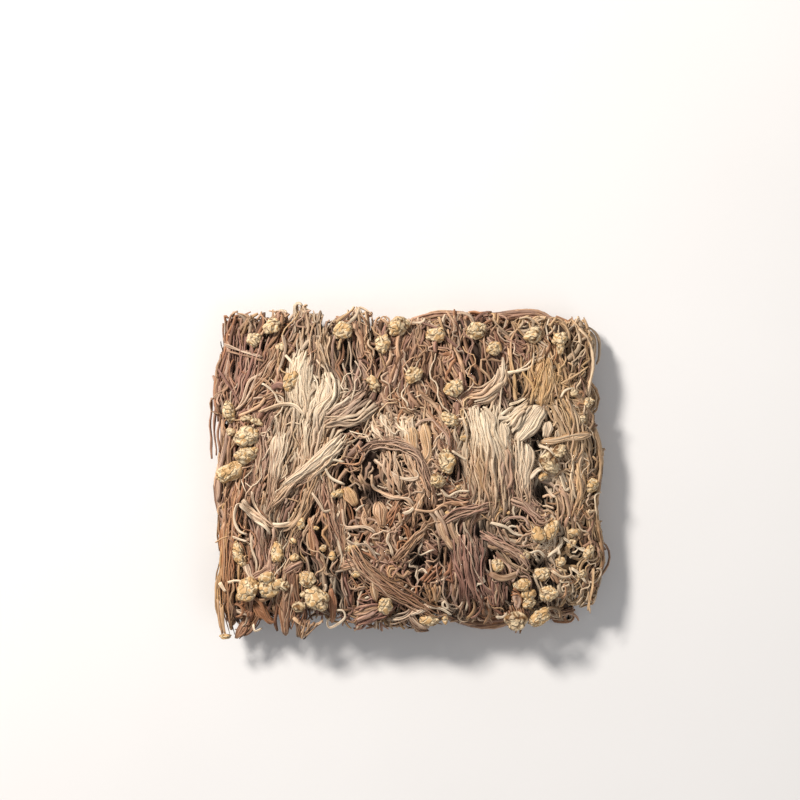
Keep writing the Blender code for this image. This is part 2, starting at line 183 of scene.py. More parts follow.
def total(zones: Sequence[Zone], x: np.ndarray, y: np.ndarray) -> np.ndarray:
    """The sum of zones, which are in the finished frame, at a spot of the clumps' frame."""
    x, y = x + CENTRING[0], y + CENTRING[1]
    return sum((zone.at(x, y) for zone in zones), np.zeros(np.broadcast(x, y).shape))


HOLLOWS = made(
    Zone,
    (-15, -10, 5, 4.5, 5), (20, 1, 4.5, 5.5, 5), (16, -38, 4, 3.5, 5.5), (47, 36, 5, 6, 5),
    (57, 14, 3.5, 6, 4.5), (60, -10, 4.5, 5, 4.5), (-55, -28, 3, 5, 3.5), (-62, -32, 3, 4, 3),
    (33, -26, 6, 5, 3.5), (-71, -17, 3, 6, 3.5), (-30, -50, 4, 8, 4), (4, -39, 3, 4, 4),
    (27, -62, 6, 5, 3), (-74, -68, 5, 4, 4), (60, -42, 3, 4, 3.5), (-66, -72, 4, 4, 3.5),
)
SWELLS = made(
    Zone,
    (-45, 22, 7, 22, 1), (-27, 28, 6, 14, 1), (-35, 5, 14, 8, 0.9), (36, 12, 9, 20, 1.2),
    (-2, -2, 10, 10, 1), (-5, -45, 14, 10, 1), (28, -42, 10, 16, 0.9), (66, 30, 8, 16, 0.8),
    (-55, -50, 16, 8, 0.8),
)
PALE_ZONES = made(
    Zone,
    (-47, 33, 8, 15, 0.95), (-32, 34, 8, 10, 0.7), (-57, 10, 4, 12, 0.6), (-36, 8, 16, 10, 0.2),
    (36, 24, 10, 10, 0.9), (40, 5, 8, 12, 0.12), (52, 26, 6, 7, 0.8), (51, 8, 5, 12, 0.7),
    (0, 24, 14, 6, 0.5), (-64, -24, 5, 6, 0.5), (63, -42, 18, 18, 0.26), (-52, -53, 22, 6, 0.10),
    (68, 8, 14, 28, 0.58), (-4, 4, 18, 16, 0.44),
)
GOLDEN_ZONES = made(
    Zone,
    (60, 43, 8, 12, 0.8), (70, 20, 9, 22, 0.55), (0, 24, 12, 6, 0.5), (-85, -45, 4, 26, 0.9),
    (-22, -5, 7, 5, 0.5), (75, -38, 9, 22, 0.6), (-30, -75, 14, 6, 0.6), (44, -73, 9, 5, 0.8),
    (-75, 12, 9, 14, 0.4), (40, 12, 16, 12, 0.3),
)
MAUVE_ZONES = made(
    Zone,
    (-78, 45, 12, 16, 0.9), (-62, 10, 6, 12, 0.5), (27, -42, 12, 18, 0.9), (-14, -52, 30, 16, 0.5),
    (14, 8, 6, 14, 0.4), (46, 58, 12, 8, 0.8), (-40, -66, 16, 9, 0.5), (52, -20, 12, 8, 0.5),
)
RUSSET_ZONES = made(
    Zone,
    (-40, -25, 12, 22, 0.6), (-62, -62, 14, 12, 0.6), (-7, -17, 5, 8, 0.8), (-66, -10, 6, 14, 0.5),
    (40, -62, 14, 8, 0.5), (10, -50, 10, 10, 0.4),
)
GLOOM_ZONES = made(
    Zone,
    (-50, -62, 32, 12, 0.50), (28, -48, 22, 20, 0.46), (-10, -56, 24, 14, 0.40), (48, 38, 8, 8, 0.30),
    (44, 57, 10, 8, 0.30), (-72, 62, 14, 6, 0.20), (-4, 6, 20, 14, -0.12), (68, 4, 14, 30, -0.46),
    (62, -42, 18, 14, -0.24), (-72, 45, 20, 16, 0.24),
)
TINTED_ZONES = ((2, GOLDEN_ZONES, 0.2), (3, MAUVE_ZONES, 0.3), (4, RUSSET_ZONES, 0.0))
TANGLES = made(
    Zone,
    (-8, -20, 18, 14, 0.9), (-7, 19, 15, 8, 0.8), (70, -38, 14, 16, 1.0), (-2, -58, 24, 11, 0.7),
    (-46, -32, 10, 9, 0.6), (-56, -67, 28, 8, 0.7), (18, 8, 8, 18, 0.7), (65, 0, 9, 16, 0.7),
    (70, 40, 10, 10, 0.5), (-62, 38, 8, 9, 0.5),
)


def pressed(x: np.ndarray, y: np.ndarray) -> np.ndarray:
    """Height of the stems' common surface: the crest less hollows, plus swells and ripples."""
    ripple = np.sin(x / 6.1 + 1.3 * np.sin(y / 17.0)) * np.sin(y / 9.7 + 1.1 * np.sin(x / 13.0))
    level = PRESSED_SHARE * crest(x, y) + RIPPLE_HEIGHT * ripple
    return level + total(SWELLS, x, y) - total(HOLLOWS, x, y)


@dataclass(frozen=True)
class ColumnClump:
    """An upper clump between two seams, from its root's Y to its head's Y."""

    name: str  # The node that it dresses
    left: int  # Index of the seam on its left
    right: int  # Index of the seam on its right
    root: float  # Y of its root end
    head: float  # Y of its head end
    slot: str  # Its finish
    unrest: float  # How much its stems wander, in radians
    seed: int  # Start of its random draws
    facing = 1

    def root_y(self, u: np.ndarray) -> np.ndarray:
        """Y of the root end at u, along the wavy line on which facing roots interlock."""
        low, high = seam_x(self.left, self.root), seam_x(self.right, self.root)
        x = low + (high - low) * (u + 1) / 2
        return self.root + ROOT_WAVE_HEIGHT * np.sin(TURN * x / ROOT_WAVE_LENGTH)

    def place(self, t: np.ndarray, u: np.ndarray, v: np.ndarray) -> np.ndarray:
        """Points at t along the clump, u across it and v up through it.

        Args:
            t: 0 at the root and 1 at the head.
            u: From -1 at the left seam to 1 at the right one.
            v: From -1 at the clump's floor to 1 at the crest.

        Returns:
            Points in millimetres, linear in u between the seams and in v up to the crest.
        """
        t, u, v = np.broadcast_arrays(t, u, v)
        root = self.root_y(u)
        y = root + (self.head - root) * t
        low = seam_x(self.left, y) + CLEARANCE
        high = seam_x(self.right, y) - CLEARANCE
        x = low + (high - low) * (u + 1) / 2
        top = crest(x, y)
        floor = LAYER_SPLIT * top + CLEARANCE
        return np.stack([x, y, floor + (top - floor) * (v + 1) / 2], axis=-1)

    def locate(self, x: float, y: float) -> Place:
        """The (t, u) of a spot seen from above."""
        low, high = seam_x(self.left, y), seam_x(self.right, y)
        u = 2 * (x - low) / (high - low) - 1
        root = self.root_y(u)
        return float((y - root) / (self.head - root)), float(u)

    def holds(self, x: float, y: float) -> bool:
        """Whether a spot seen from above lies on this clump."""
        t, u = self.locate(x, y)
        return -1 <= u < 1 and 0 <= t <= 1.3


@dataclass(frozen=True)
class RowClump:
    """A clump underneath, in one row, from its root near the middle to its head at an edge."""

    name: str  # The node that it dresses
    row: int  # Index of its row
    side: int  # -1 on the left, 1 on the right
    slot: str  # Its finish
    unrest: float  # How much its stems wander, in radians
    seed: int  # Start of its random draws
    facing = -1

    def place(self, t: np.ndarray, u: np.ndarray, v: np.ndarray) -> np.ndarray:
        """Points at t along the clump, u across it and v up through it.

        Args:
            t: 0 at the root and 1 at the head.
            u: From -1 to 1 between the row's edges.
            v: From -1 at the surface on which it lies to 1 under the upper clumps.

        Returns:
            Points in millimetres, none of them below the surface.
        """
        t, u, v = np.broadcast_arrays(t, u, v)
        root = ROW_MEETING_X[self.row] + self.side * ROOT_GAP
        x = root + (self.side * ROW_HEAD_X[self.row] - root) * t
        low = row_edge_y(self.row + 1, x) + CLEARANCE
        high = row_edge_y(self.row, x) - CLEARANCE
        y = low + (high - low) * (u + 1) / 2
        top = LAYER_SPLIT * crest(x, y) - CLEARANCE
        return np.stack([x, y, -PRESSED_DEPTH + (top + PRESSED_DEPTH) * (v + 1) / 2], axis=-1)


Clump = ColumnClump | RowClump

UPPER_CLUMPS = made(
    ColumnClump,
    ("upper_left_clump", 0, 1, 19.7, 67.0, "mauve_brown", 0.22, 11),
    ("left_edge_clump", 0, 1, 18.5, -70.0, "mauve_brown", 0.30, 12),
    ("pale_left_clump", 1, 2, 69.0, -64.0, "pale_straw", 0.20, 13),
    ("pale_middle_clump", 2, 3, 66.0, -68.0, "pale_straw", 0.24, 14),
    ("tangled_left_clump", 3, 4, 21.6, -70.0, "mauve_brown", 0.55, 15),
    ("tangled_right_clump", 4, 5, 21.6, -71.0, "mauve_brown", 0.50, 16),
    ("cream_root_clump", 5, 6, 27.8, -67.0, "pale_straw", 0.26, 17),
    ("pale_right_clump", 6, 7, 28.6, -66.0, "pale_straw", 0.42, 18),
    ("right_edge_clump", 7, 8, 28.6, -60.0, "golden_tan", 0.50, 19),
    ("upper_middle_clump", 3, 5, 23.4, 64.0, "mauve_brown", 0.40, 20),
    ("upper_right_clump", 5, 6, 29.0, 67.0, "mauve_brown", 0.45, 21),
    ("golden_clump", 6, 8, 29.8, 64.0, "golden_tan", 0.35, 27),
)
UNDER_CLUMPS = tuple(
    RowClump(f"under_{side_name}_clump_{row + 1}", row, side, slot, 0.3, 160 + 4 * index + row)
    for index, (side_name, side) in enumerate((("left", -1), ("right", 1)))
    for row, slot in enumerate(("mauve_brown", "golden_tan", "mauve_brown", "mauve_brown"))
)


class Tone(Enum):
    """The colours that a dried stem may have: lightness, paleness, gold, mauve and russet."""

    CREAM = (0.75, 0.85, 0.15, 0.0, 0.0)
    PALE = (0.66, 0.50, 0.0, 0.1, 0.0)
    TAN = (0.58, 0.15, 0.25, 0.0, 0.1)
    LAVENDER = (0.60, 0.22, 0.0, 0.9, 0.0)
    MAUVE = (0.42, 0.05, 0.0, 0.6, 0.0)
    BROWN = (0.30, 0.0, 0.1, 0.0, 0.3)
    RUSSET = (0.42, 0.0, 0.25, 0.0, 0.9)
    GOLD = (0.60, 0.20, 0.85, 0.0, 0.1)
    UMBER = (0.14, 0.0, 0.0, 0.3, 0.0)
    BLUSH = (0.85, 0.72, 0.0, 0.22, 0.0)
    FELT = (0.66, 0.80, 0.05, 0.05, 0.0)


CREAM, PALE, TAN, LAVENDER, MAUVE, BROWN, RUSSET, GOLD, UMBER, BLUSH, FELT = Tone


def owner(x: float, y: float) -> ColumnClump:
    """Finds the upper clump on which a spot of the top lies.

    Args:
        x: X of the spot in the finished frame.
        y: Its Y.

    Returns:
        The clump under the spot, or else the nearest by its middle.
    """
    x, y = x - CENTRING[0], y - CENTRING[1]
    for clump in UPPER_CLUMPS:
        if clump.holds(x, y):
            return clump
    return min(UPPER_CLUMPS, key=lambda clump: float(np.hypot(*(clump.place(0.5, 0.0, 0.0)[:2] - (x, y)))))


@dataclass(frozen=True)
class Placed:
    """Something that was placed along a given course over the top."""

    course: tuple[float, ...]  # X and Y of each spot that its middle passes over, one after another

    def owner(self) -> ColumnClump:
        """The upper clump under the middle spot of its course."""
        middle = len(self.course) // 4 * 2
        return owner(*self.course[middle : middle + 2])


@dataclass(frozen=True)
class Sheaf(Placed):
    """A bundle of stems pressed side by side."""

    width: tuple[float, float]  # Its width at the first spot and at the last
    count: int  # How many stems it has across
    tone: Tone  # Its colour
    lift: float  # How far it lies over the other stems
    unrest: float  # How much its stems stray from one another


@dataclass(frozen=True)
class LooseStem(Placed):
    """One stem that lies loose on the others."""

    half_width: float  # Half its width
    tone: Tone  # Its colour


SHEAVES = made(
    Sheaf,
    ((-72, 62, -74, 47, -78, 29), (23.4, 5.4), 22, MAUVE, 0, 0.5),
    ((-58, 59, -64, 46, -76, 28), (7.2, 3.1), 9, TAN, 1.2, 0.5),
    ((-47, 55, -49, 42, -48, 30, -46, 22), (7.7, 11.7), 13, CREAM, 1.3, 0.5),
    ((-53, 47, -53, 36, -49, 28), (4, 4.5), 6, CREAM, 0.8, 0.4),
    ((-37, 46, -36, 36, -41, 28, -44, 17), (12.6, 10.8), 14, PALE, 1, 0.5),
    ((-19, 36, -27, 30, -36, 24, -41, 20), (6.8, 4.5), 7, LAVENDER, 1.4, 0.4),
    ((-15, 31, -23, 25, -34, 23, -41, 21), (5.4, 3.6), 6, PALE, 1.8, 0.5),
    ((-28, 17, -34, 11, -41, 5, -50, -2, -58, -11, -65, -20), (5.4, 1.4), 9, CREAM, 2.2, 0.4),
    ((-32, 10, -41, 1, -51, -5, -57, -8), (3.1, 1.8), 4, PALE, 1.8, 0.4),
    ((-57, 23, -58, 15, -60, 4, -62, -9, -63, -18), (7.7, 3.1), 10, PALE, 1.4, 0.4),
    ((-54, 30, -55, 20, -58, 5), (9, 6.8), 9, TAN, 0.6, 0.5),
    ((-66, 28, -66, 10, -70, -9, -74, -26), (5.9, 4.5), 8, LAVENDER, 0.4, 0.5),
    ((-75, 5, -80, -14, -82, -38, -83, -62, -81, -76), (6.8, 4.5), 10, RUSSET, 0.4, 0.4),
    ((-83, -20, -85, -38, -87, -56, -85, -73), (2.2, 1.8), 4, GOLD, 1.2, 0.3),
    ((-40, 2, -44, -9, -52, -26, -56, -39), (3.1, 6.8), 10, TAN, 1, 0.4),
    ((-39, 1, -38, -9, -34, -24, -32, -37), (3.1, 9), 11, MAUVE, 0.8, 0.5),
    ((-42, 32, -44, 20, -46, 5, -49, -9), (12.6, 9.9), 13, PALE, 0.2, 0.4),
    ((-66, -23, -64, -36, -66, -49), (14.4, 12.2), 14, MAUVE, 0, 0.6),
    ((-51, -41, -52, -56, -53, -74), (13.5, 11.7), 12, BROWN, 0.2, 0.4),
    ((-68, -58, -71, -68, -79, -76), (5, 2.7), 6, BROWN, 0.2, 0.4),
    ((-23, 8, -16, 13, -5, 13, 4, 8, 8, -2, 11, -13), (3.6, 4.5), 9, MAUVE, 2, 0.4),
    ((-10, 10, -8, 0, -4, -11), (7.7, 9), 9, TAN, 1.4, 0.9),
    ((-1, 15, 2, 5, 7, -7, 8, -18), (7.2, 6.3), 9, TAN, 0.8, 0.6),
    ((-5, -11, -8, -18, -11, -24), (4.5, 5.4), 7, RUSSET, 0.8, 0.4),
    ((9, -22, 2, -30, -7, -40), (2.7, 4), 6, TAN, 2.4, 0.4),
    ((-27, -32, -20, -43, -10, -51, 2, -58, 11, -64, 17, -65), (6.3, 8.1), 14, TAN, 2, 0.4),
    ((11, -16, 14, -23, 18, -33), (4, 5), 5, PALE, 1.6, 0.3),
    ((4, -30, 10, -34, 14, -37), (3.1, 3.6), 5, MAUVE, 0.8, 0.4),
    ((2, -1, 5, -8, 2, -18, 1, -25), (4, 4.5), 7, TAN, 0.6, 0.6),
    ((-31, -4, -30, -16, -29, -32, -31, -40), (4.5, 3.6), 7, BROWN, 0.4, 0.4),
    ((-30, -43, -29, -51, -27, -62), (5.4, 4.5), 7, BROWN, 0.2, 0.4),
    ((-18, -43, -16, -50, -15, -59), (2.2, 1.4), 4, GOLD, 1.2, 0.3),
    ((-25, -63, -19, -60, -13, -59), (4, 3.1), 5, MAUVE, 1, 0.3),
    ((-25, -68, -16, -65, -10, -62, -6, -59), (4, 3.1), 6, MAUVE, 1.2, 0.4),
    ((-10, -67, -1, -64, 4, -60, 9, -60), (2.7, 2.2), 4, PALE, 1.8, 0.3),
    ((-1, -62, 3, -69, 9, -71), (3.1, 1.8), 4, PALE, 1.4, 0.4),
    ((6, -49, 10, -45, 14, -41), (3.6, 4), 6, RUSSET, 1, 0.4),
    ((12, -50, 12, -54, 11, -59), (2.2, 2.7), 4, GOLD, 1.2, 0.3),
    ((-30, -41, -24, -40, -20, -39), (4, 3.1), 5, MAUVE, 1, 0.3),
    ((31, 30, 32, 20, 34, 5, 36, -9, 35, -20), (17.1, 16.2), 22, CREAM, 1.4, 0.3),
    ((44, 20, 50, 26, 56, 32), (7.2, 7.7), 9, CREAM, 1.8, 0.4),
    ((50, 16, 50, 5, 51, -7, 53, -18), (9, 6.3), 12, PALE, 1.5, 0.4),
    ((41, 22, 43, 5, 44, -11, 43, -19), (5.9, 5.4), 8, CREAM, 0.4, 0.4),
    ((59, 52, 59, 40, 56, 29), (11.7, 14.4), 16, GOLD, 1.2, 0.4),
    ((67, 34, 72, 24, 74, 12, 71, 1), (13.5, 9.9), 14, TAN, 0.8, 0.5),
    ((75, 10, 75, -5, 78, -15), (7.2, 5), 8, TAN, 0.6, 0.4),
    ((45, -11, 51, -14, 56, -19, 59, -22, 64, -19), (3.6, 3.1), 6, LAVENDER, 1.6, 0.3),
    ((52, -7, 55, -12, 59, -17), (4, 4), 6, MAUVE, 1.2, 0.3),
    ((66, -6, 70, -15, 69, -25), (8.1, 9), 9, MAUVE, 0.6, 0.4),
    ((74, 1, 77, -5, 74, -15, 72, -22), (7.2, 6.3), 8, TAN, 1, 0.4),
    ((12, -23, 21, -18, 34, -15, 43, -13), (3.1, 4), 8, MAUVE, 1.6, 0.4),
    ((12, -14, 18, -13, 27, -14), (4.5, 4), 6, BROWN, 0.6, 0.5),
    ((24, -27, 26, -41, 28, -53, 32, -64), (13.5, 18.9), 20, MAUVE, 0.8, 0.3),
    ((31, -27, 41, -32, 49, -37, 54, -44), (4, 4), 8, LAVENDER, 1.6, 0.3),
    ((42, -33, 49, -36, 52, -37), (3.6, 2.7), 5, TAN, 1.4, 0.3),
    ((39, -48, 40, -55, 40, -61), (6.3, 6.3), 8, MAUVE, 0.6, 0.4),
    ((46, -54, 49, -55, 49, -60), (4.5, 4), 6, RUSSET, 1.2, 0.4),
    ((63, -43, 66, -47, 68, -50), (2.7, 2.7), 4, RUSSET, 1.4, 0.3),
    ((43, 59, 49, 56, 55, 51), (7.2, 8.1), 10, UMBER, 0, 0.6),
    ((41, 42, 43, 34, 48, 26), (10.8, 9.9), 12, UMBER, -0.6, 0.9),
    ((9, 32, 14, 20, 18, 5), (10.8, 9.9), 12, BROWN, 0.2, 0.9),
    ((-3, 24, 0, 15, 1, 8), (9.9, 7.2), 10, CREAM, 0.6, 0.9),
    ((-16, 26, -11, 17, -7, 10), (9.9, 8.1), 10, CREAM, 0.4, 0.9),
    ((43, 49, 41, 42, 35, 36, 27, 33), (3.5, 9), 9, CREAM, 1.2, 0.5),
    ((-40, 66, -39.5, 56, -37, 46), (6, 6), 7, TAN, 0.6, 0.6),
    ((-24, 68, -22, 60, -20, 50), (7, 6), 7, BROWN, 0.6, 0.6),
    ((-49.4, -75, -47.5, -70.5, -46, -66), (2, 13), 10, TAN, 1.8, 0.1),
    ((11, -58.5, 10, -54, 8, -49), (4.5, 6.5), 6, GOLD, 1.4, 0.3),
    ((45, -60, 48, -66, 48, -73), (9, 3), 8, RUSSET, 1.2, 0.2),
    ((-76, -13, -72, -17, -67, -21, -61, -26), (2.4, 4.4), 6, BLUSH, 2.2, 0.3),
    ((31, 16, 33, 3, 35, -14), (8, 13), 10, TAN, 2.2, 0.7),
    ((41, 12, 43, 0, 42, -12), (5, 8), 6, LAVENDER, 1.9, 0.7),
    ((38, -36, 43, -43, 47, -52), (5, 7), 7, MAUVE, -0.4, 0.8),
)
LOOSE_STEMS = made(
    LooseStem,
    ((-57, 62, -56, 55, -59, 45), 1, PALE), ((-84, 58, -76, 55, -66, 52), 1, PALE),
    ((-83, 55, -75, 53, -65, 50), 0.8, TAN), ((-68, 45, -72, 36, -75, 31, -79, 28), 0.9, PALE),
    ((-87, 47, -80, 37, -76, 29), 0.8, UMBER), ((-70, 43, -64, 41, -61, 36, -65, 33), 0.8, TAN),
    ((-66, 34, -61, 36, -56, 35), 0.8, TAN), ((42, 52, 42, 44, 36, 35, 29, 32), 0.8, CREAM),
    ((43, 45, 50, 46, 55, 48, 56, 54), 0.9, CREAM), ((44, 44, 52, 48, 55, 51), 0.7, CREAM),
    ((42, 52, 41, 37, 40, 26), 0.7, CREAM), ((68, 40, 75, 44, 81, 48), 0.7, TAN),
    ((68, 34, 70, 37, 74, 38, 76, 35), 0.8, CREAM), ((-80, -29, -77, -30, -73, -31), 1, CREAM),
    ((-76, -14, -78, -15, -79, -21, -77, -26, -73, -28), 1, CREAM),
    ((-74, -17, -70, -21, -64, -25, -63, -28), 1.4, CREAM),
    ((-62, -23, -57, -23, -53, -22), 1.1, CREAM), ((-58, -26, -54, -25, -50, -21, -48, -16), 1.2, TAN),
    ((-67, -5, -69, -11, -68, -14), 0.9, LAVENDER), ((-71, -8, -70, -14, -66, -20), 1, PALE),
    ((-58, -11, -56, -11, -55, -12, -56, -14), 0.8, LAVENDER), ((-38, 5, -34, 6, -29, 5), 1.1, CREAM),
    ((-38, 3, -35, -2, -29, -5), 1, CREAM), ((-44, -8, -40, -14, -38, -17, -34, -16), 1, PALE),
    ((-71, -28, -71, -34, -69, -40, -69, -45), 1, PALE), ((-88, -32, -85, -30, -82, -29), 0.7, TAN),
    ((-17, -2, -16, -6, -9, -11, -1, -11, 2, -14), 0.9, PALE),
    ((-9, 1, -4, -2, 1, -2, 4, -1, 1, 3), 0.9, PALE), ((-3, -18, 0, -17, 2, -15), 1.1, CREAM),
    ((1, -16, 10, -17, 15, -14, 18, -16), 1, TAN), ((18, -10, 22, -8, 27, -8), 0.9, CREAM),
    ((14, -7, 17, -10, 19, -10), 0.8, CREAM), ((19, 10, 24, 7, 26, 6), 0.9, CREAM),
    ((-30, -16, -29, -23, -26, -24, -21, -24), 0.9, PALE), ((-24, -17, -22, -15, -20, -14), 0.9, CREAM),
    ((-28, -30, -24, -32, -19, -32, -14, -39), 1, PALE),
    ((42, -22, 45, -20, 51, -20, 54, -24), 1, LAVENDER),
    ((36, -22, 43, -24, 47, -27, 51, -28), 1, CREAM), ((58, 12, 62, 11, 65, 8), 1.1, CREAM),
    ((54, -2, 57, 1, 59, 2), 1.6, PALE), ((61, -6, 64, -10, 66, -11), 1, PALE),
    ((60, -11, 63, -10, 64, -12), 0.9, TAN), ((60, -15, 62, -15, 65, -16), 0.9, TAN),
    ((60, -17, 63, -17, 65, -19), 0.9, TAN), ((68, -29, 68, -33, 64, -36, 62, -38), 1.2, CREAM),
    ((69, -29, 73, -32, 78, -35, 82, -36), 1.1, CREAM), ((87, -9, 84, -11, 85, -20), 0.6, CREAM),
    ((73, -43, 77, -46, 80, -50), 1.1, CREAM), ((64, -44, 69, -47, 73, -46, 72, -42), 1, PALE),
    ((54, -36, 58, -35, 61, -38), 1.1, CREAM), ((38, -49, 43, -47, 46, -48), 1, LAVENDER),
    ((49, -43, 47, -47, 46, -49), 0.9, LAVENDER), ((39, -65, 42, -65, 44, -63), 1, CREAM),
    ((81, -54, 81, -57, 82, -64), 0.5, TAN),
    ((15, -57, 17, -59, 17, -61, 15, -60, 15, -57), 0.9, CREAM),
    ((8, -60, 14, -61, 19, -64), 1, CREAM), ((4, -44, 6, -43, 8, -45), 0.9, CREAM),
    ((-11, -50, -5, -53, -1, -50), 0.9, PALE), ((-31, -48, -30, -51, -28, -56), 1, PALE),
    ((-33, -62, -30, -62, -29, -65, -32, -68, -36, -70, -37, -67, -35, -65), 0.9, CREAM),
    ((-53, -65, -47, -69, -41, -68, -39, -66), 1.2, GOLD), ((-82, -50, -79, -49, -76, -49), 1.4, CREAM),
    ((-86, -50, -84, -53, -83, -54), 1.4, CREAM), ((-71, -69, -70, -72, -67, -71), 1, CREAM),
    ((-87, -56, -86, -66, -85, -74), 0.8, TAN), ((-70, -56, -67, -59, -64, -66, -61, -68), 1.3, RUSSET),
    ((-61.5, 51, -66.3, 45, -71.9, 41.7, -73.9, 36.9, -75.1, 32.5, -78.3, 28.1), 1.1, PALE),
    ((-67.9, 40.9, -63.9, 38.9, -60.7, 36.1, -58.7, 32.1, -56.6, 32.1), 1, CREAM),
    ((-56.2, 53.4, -53.4, 50.2, -51.8, 46.6), 1.1, CREAM),
    ((-77.1, 25.7, -71.9, 27.7, -67.1, 30.5, -64.7, 34.1), 1.1, TAN),
    ((-67.9, 27.3, -61.5, 29.7, -55.8, 30.9, -51, 30.1, -46.6, 25.3), 1.3, TAN),
    ((-61.9, -23.7, -55.8, -23.7, -51.8, -22.1, -48.6, -16.1, -46.2, -6.9), 1.4, TAN),
    ((-15.7, 6.2, -10.8, 2.2, -5.2, -1.4, 0.4, -2.8, 3.6, -1.8, 2.4, 0.6), 1.1, PALE),
    ((-16.9, -0.6, -16.5, -5.8, -13.2, -8.2, -7.6, -10.2, -1.6, -11.4, 1.6, -15.5), 1.1, TAN),
    ((2.8, 21.1, 5.6, 23.5, 10.1, 23.9, 12.5, 21.5, 16.9, 16.7, 18.1, 11.9), 1.1, LAVENDER),
    ((43.7, 43.4, 46.7, 37.4, 50, 34.8), 1.2, TAN), ((44.8, 30.7, 48.5, 31.8, 52.3, 33.7), 1.2, CREAM),
    ((39.2, 24.7, 42.9, 24.7, 48.9, 24.3), 1.2, CREAM), ((40, 25.4, 44, 28.4, 46.7, 29.9), 1.2, CREAM),
    ((57.5, 15.7, 58.6, 12.4, 62.7, 10.5, 65.3, 6.8), 1.2, PALE),
    ((67.6, -0.9, 69, -4.7, 70.2, -7.6, 72, -6.9), 1.4, CREAM),
    ((-86.8, -47.4, -87.6, -57.9, -86.4, -65.9, -84.8, -73.2), 1.1, TAN),
    ((-71.9, -56.3, -66.3, -57.5, -61.5, -55.5), 1.2, TAN),
    ((-28.8, -23.7, -27.2, -24.5, -21.2, -23.7, -17.2, -24.9, -14.8, -27.3), 1.2, PALE),
    ((-24, -66.7, -18, -63.8, -15.2, -62.2), 1.4, LAVENDER),
    ((-1.1, -62.6, 2.1, -66.7, 4.9, -69.1, 8.9, -69.9), 1.2, PALE),
    ((-9, -26.5, -10, -30, -8.5, -33, -7.5, -37), 1, CREAM),
    ((83.2, -43.6, 82.9, -51.1, 81.4, -58.6, 81, -62.7), 1, TAN),
    ((67.2, -36.9, 66.8, -33.6, 68.7, -31.3), 1.4, CREAM), ((-62, 38, -59, 39.5, -56, 39), 1.6, MAUVE),
    ((48, -54, 48.5, -58, 48, -61), 1.7, LAVENDER), ((-85, -60, -84.5, -68, -83.5, -74), 1.2, TAN),
    ((36, -45, 42, -47, 49, -45), 1.5, TAN),
)


@dataclass(frozen=True)
class Pad(Placed):
    """A broad ridged body of fused stems, from its blunt end to its thin one."""

    half_width: float  # Half its width where it is widest
    tone: Tone  # Its colour
    lift: float = 0.9  # How far it lies over the other stems


PADS = made(
    Pad,
    ((-31.7, 16.1, -36.5, 11, -41.8, 5.6, -49.8, -0.8, -57, -5.3), 2.2, BLUSH, 3),
    ((-58.8, 17.5, -59.3, 8, -60.5, -3.5), 2.9, BLUSH, 1.4),
    ((51.7, 13.5, 51.3, 3, 49.5, -9), 4, BLUSH, 1.4),
    ((59.5, 29.5, 53.5, 21.5, 47.8, 14.4), 4.4, FELT, 1.6),
    ((60.5, 50, 60, 40, 59, 30), 4.6, GOLD, 1), ((61.9, 23, 61.9, 19.5, 61, 15.5), 2.4, BLUSH),
    ((33, 28, 34.2, 22, 35.5, 15), 4.6, CREAM, 1.2), ((41, 23, 41.5, 17, 42, 10), 2.8, CREAM),
    ((-47.5, 54, -48.5, 42, -46.5, 28), 3.8, CREAM, 1.2), ((-36, 42, -38, 33, -41, 24), 4, CREAM),
    ((0.5, 21, 1.2, 16, 2.5, 10), 2.9, GOLD, 1.2), ((6, 22, 7.3, 15, 7.8, 9, 6, 5), 2.3, GOLD, 1.2),
    ((-28.5, -6.5, -26, -11, -24, -14.5), 2.6, GOLD, 1.4),
    ((-14, -13, -13, -18, -12, -24), 2.8, TAN, 1.2),
    ((-72, -62.5, -74.5, -69, -78.7, -75.6), 2.1, BROWN),
    ((-70, -59.5, -66, -63.5, -62, -68.5), 2.2, RUSSET), ((-56.3, -55, -56, -65, -56, -74), 1.9, BROWN),
    ((-52.5, -45, -51.5, -53, -52, -63), 1.8, UMBER), ((-35.3, -52, -34.5, -60, -35, -68), 1.5, RUSSET),
    ((-16.5, -44, -15.8, -51, -14.8, -58), 1.3, GOLD, 1.8),
    ((-31, -42, -26, -40.3, -20.5, -40.5), 2.2, TAN), ((-25, -63.5, -20, -61.5, -13, -59.8), 2.1, TAN),
    ((0, -63.2, 4.5, -61.4, 9.5, -59.6), 1.8, BLUSH, 1.6),
    ((13.5, -21.5, 16, -28.5, 20, -34.5), 1.6, TAN, 1.6),
    ((17.5, -21, 20, -27.5, 23, -33), 1.4, TAN, 1.4),
    ((-60.5, -41.5, -65, -44.5, -70.5, -47.5), 1.9, MAUVE),
    ((-48, -40.5, -52, -42, -57, -45), 1.9, MAUVE),
    ((-74.5, -40.5, -72.5, -45, -70.5, -49), 1.3, BLUSH),
    ((-83.5, -22, -84.3, -35, -84, -52), 1.2, RUSSET),
    ((-44.5, -20, -43.5, -30, -43, -38), 1.4, RUSSET), ((82, 17.3, 72, 15.8, 58, 13.6), 1.3, TAN, 2.2),
)


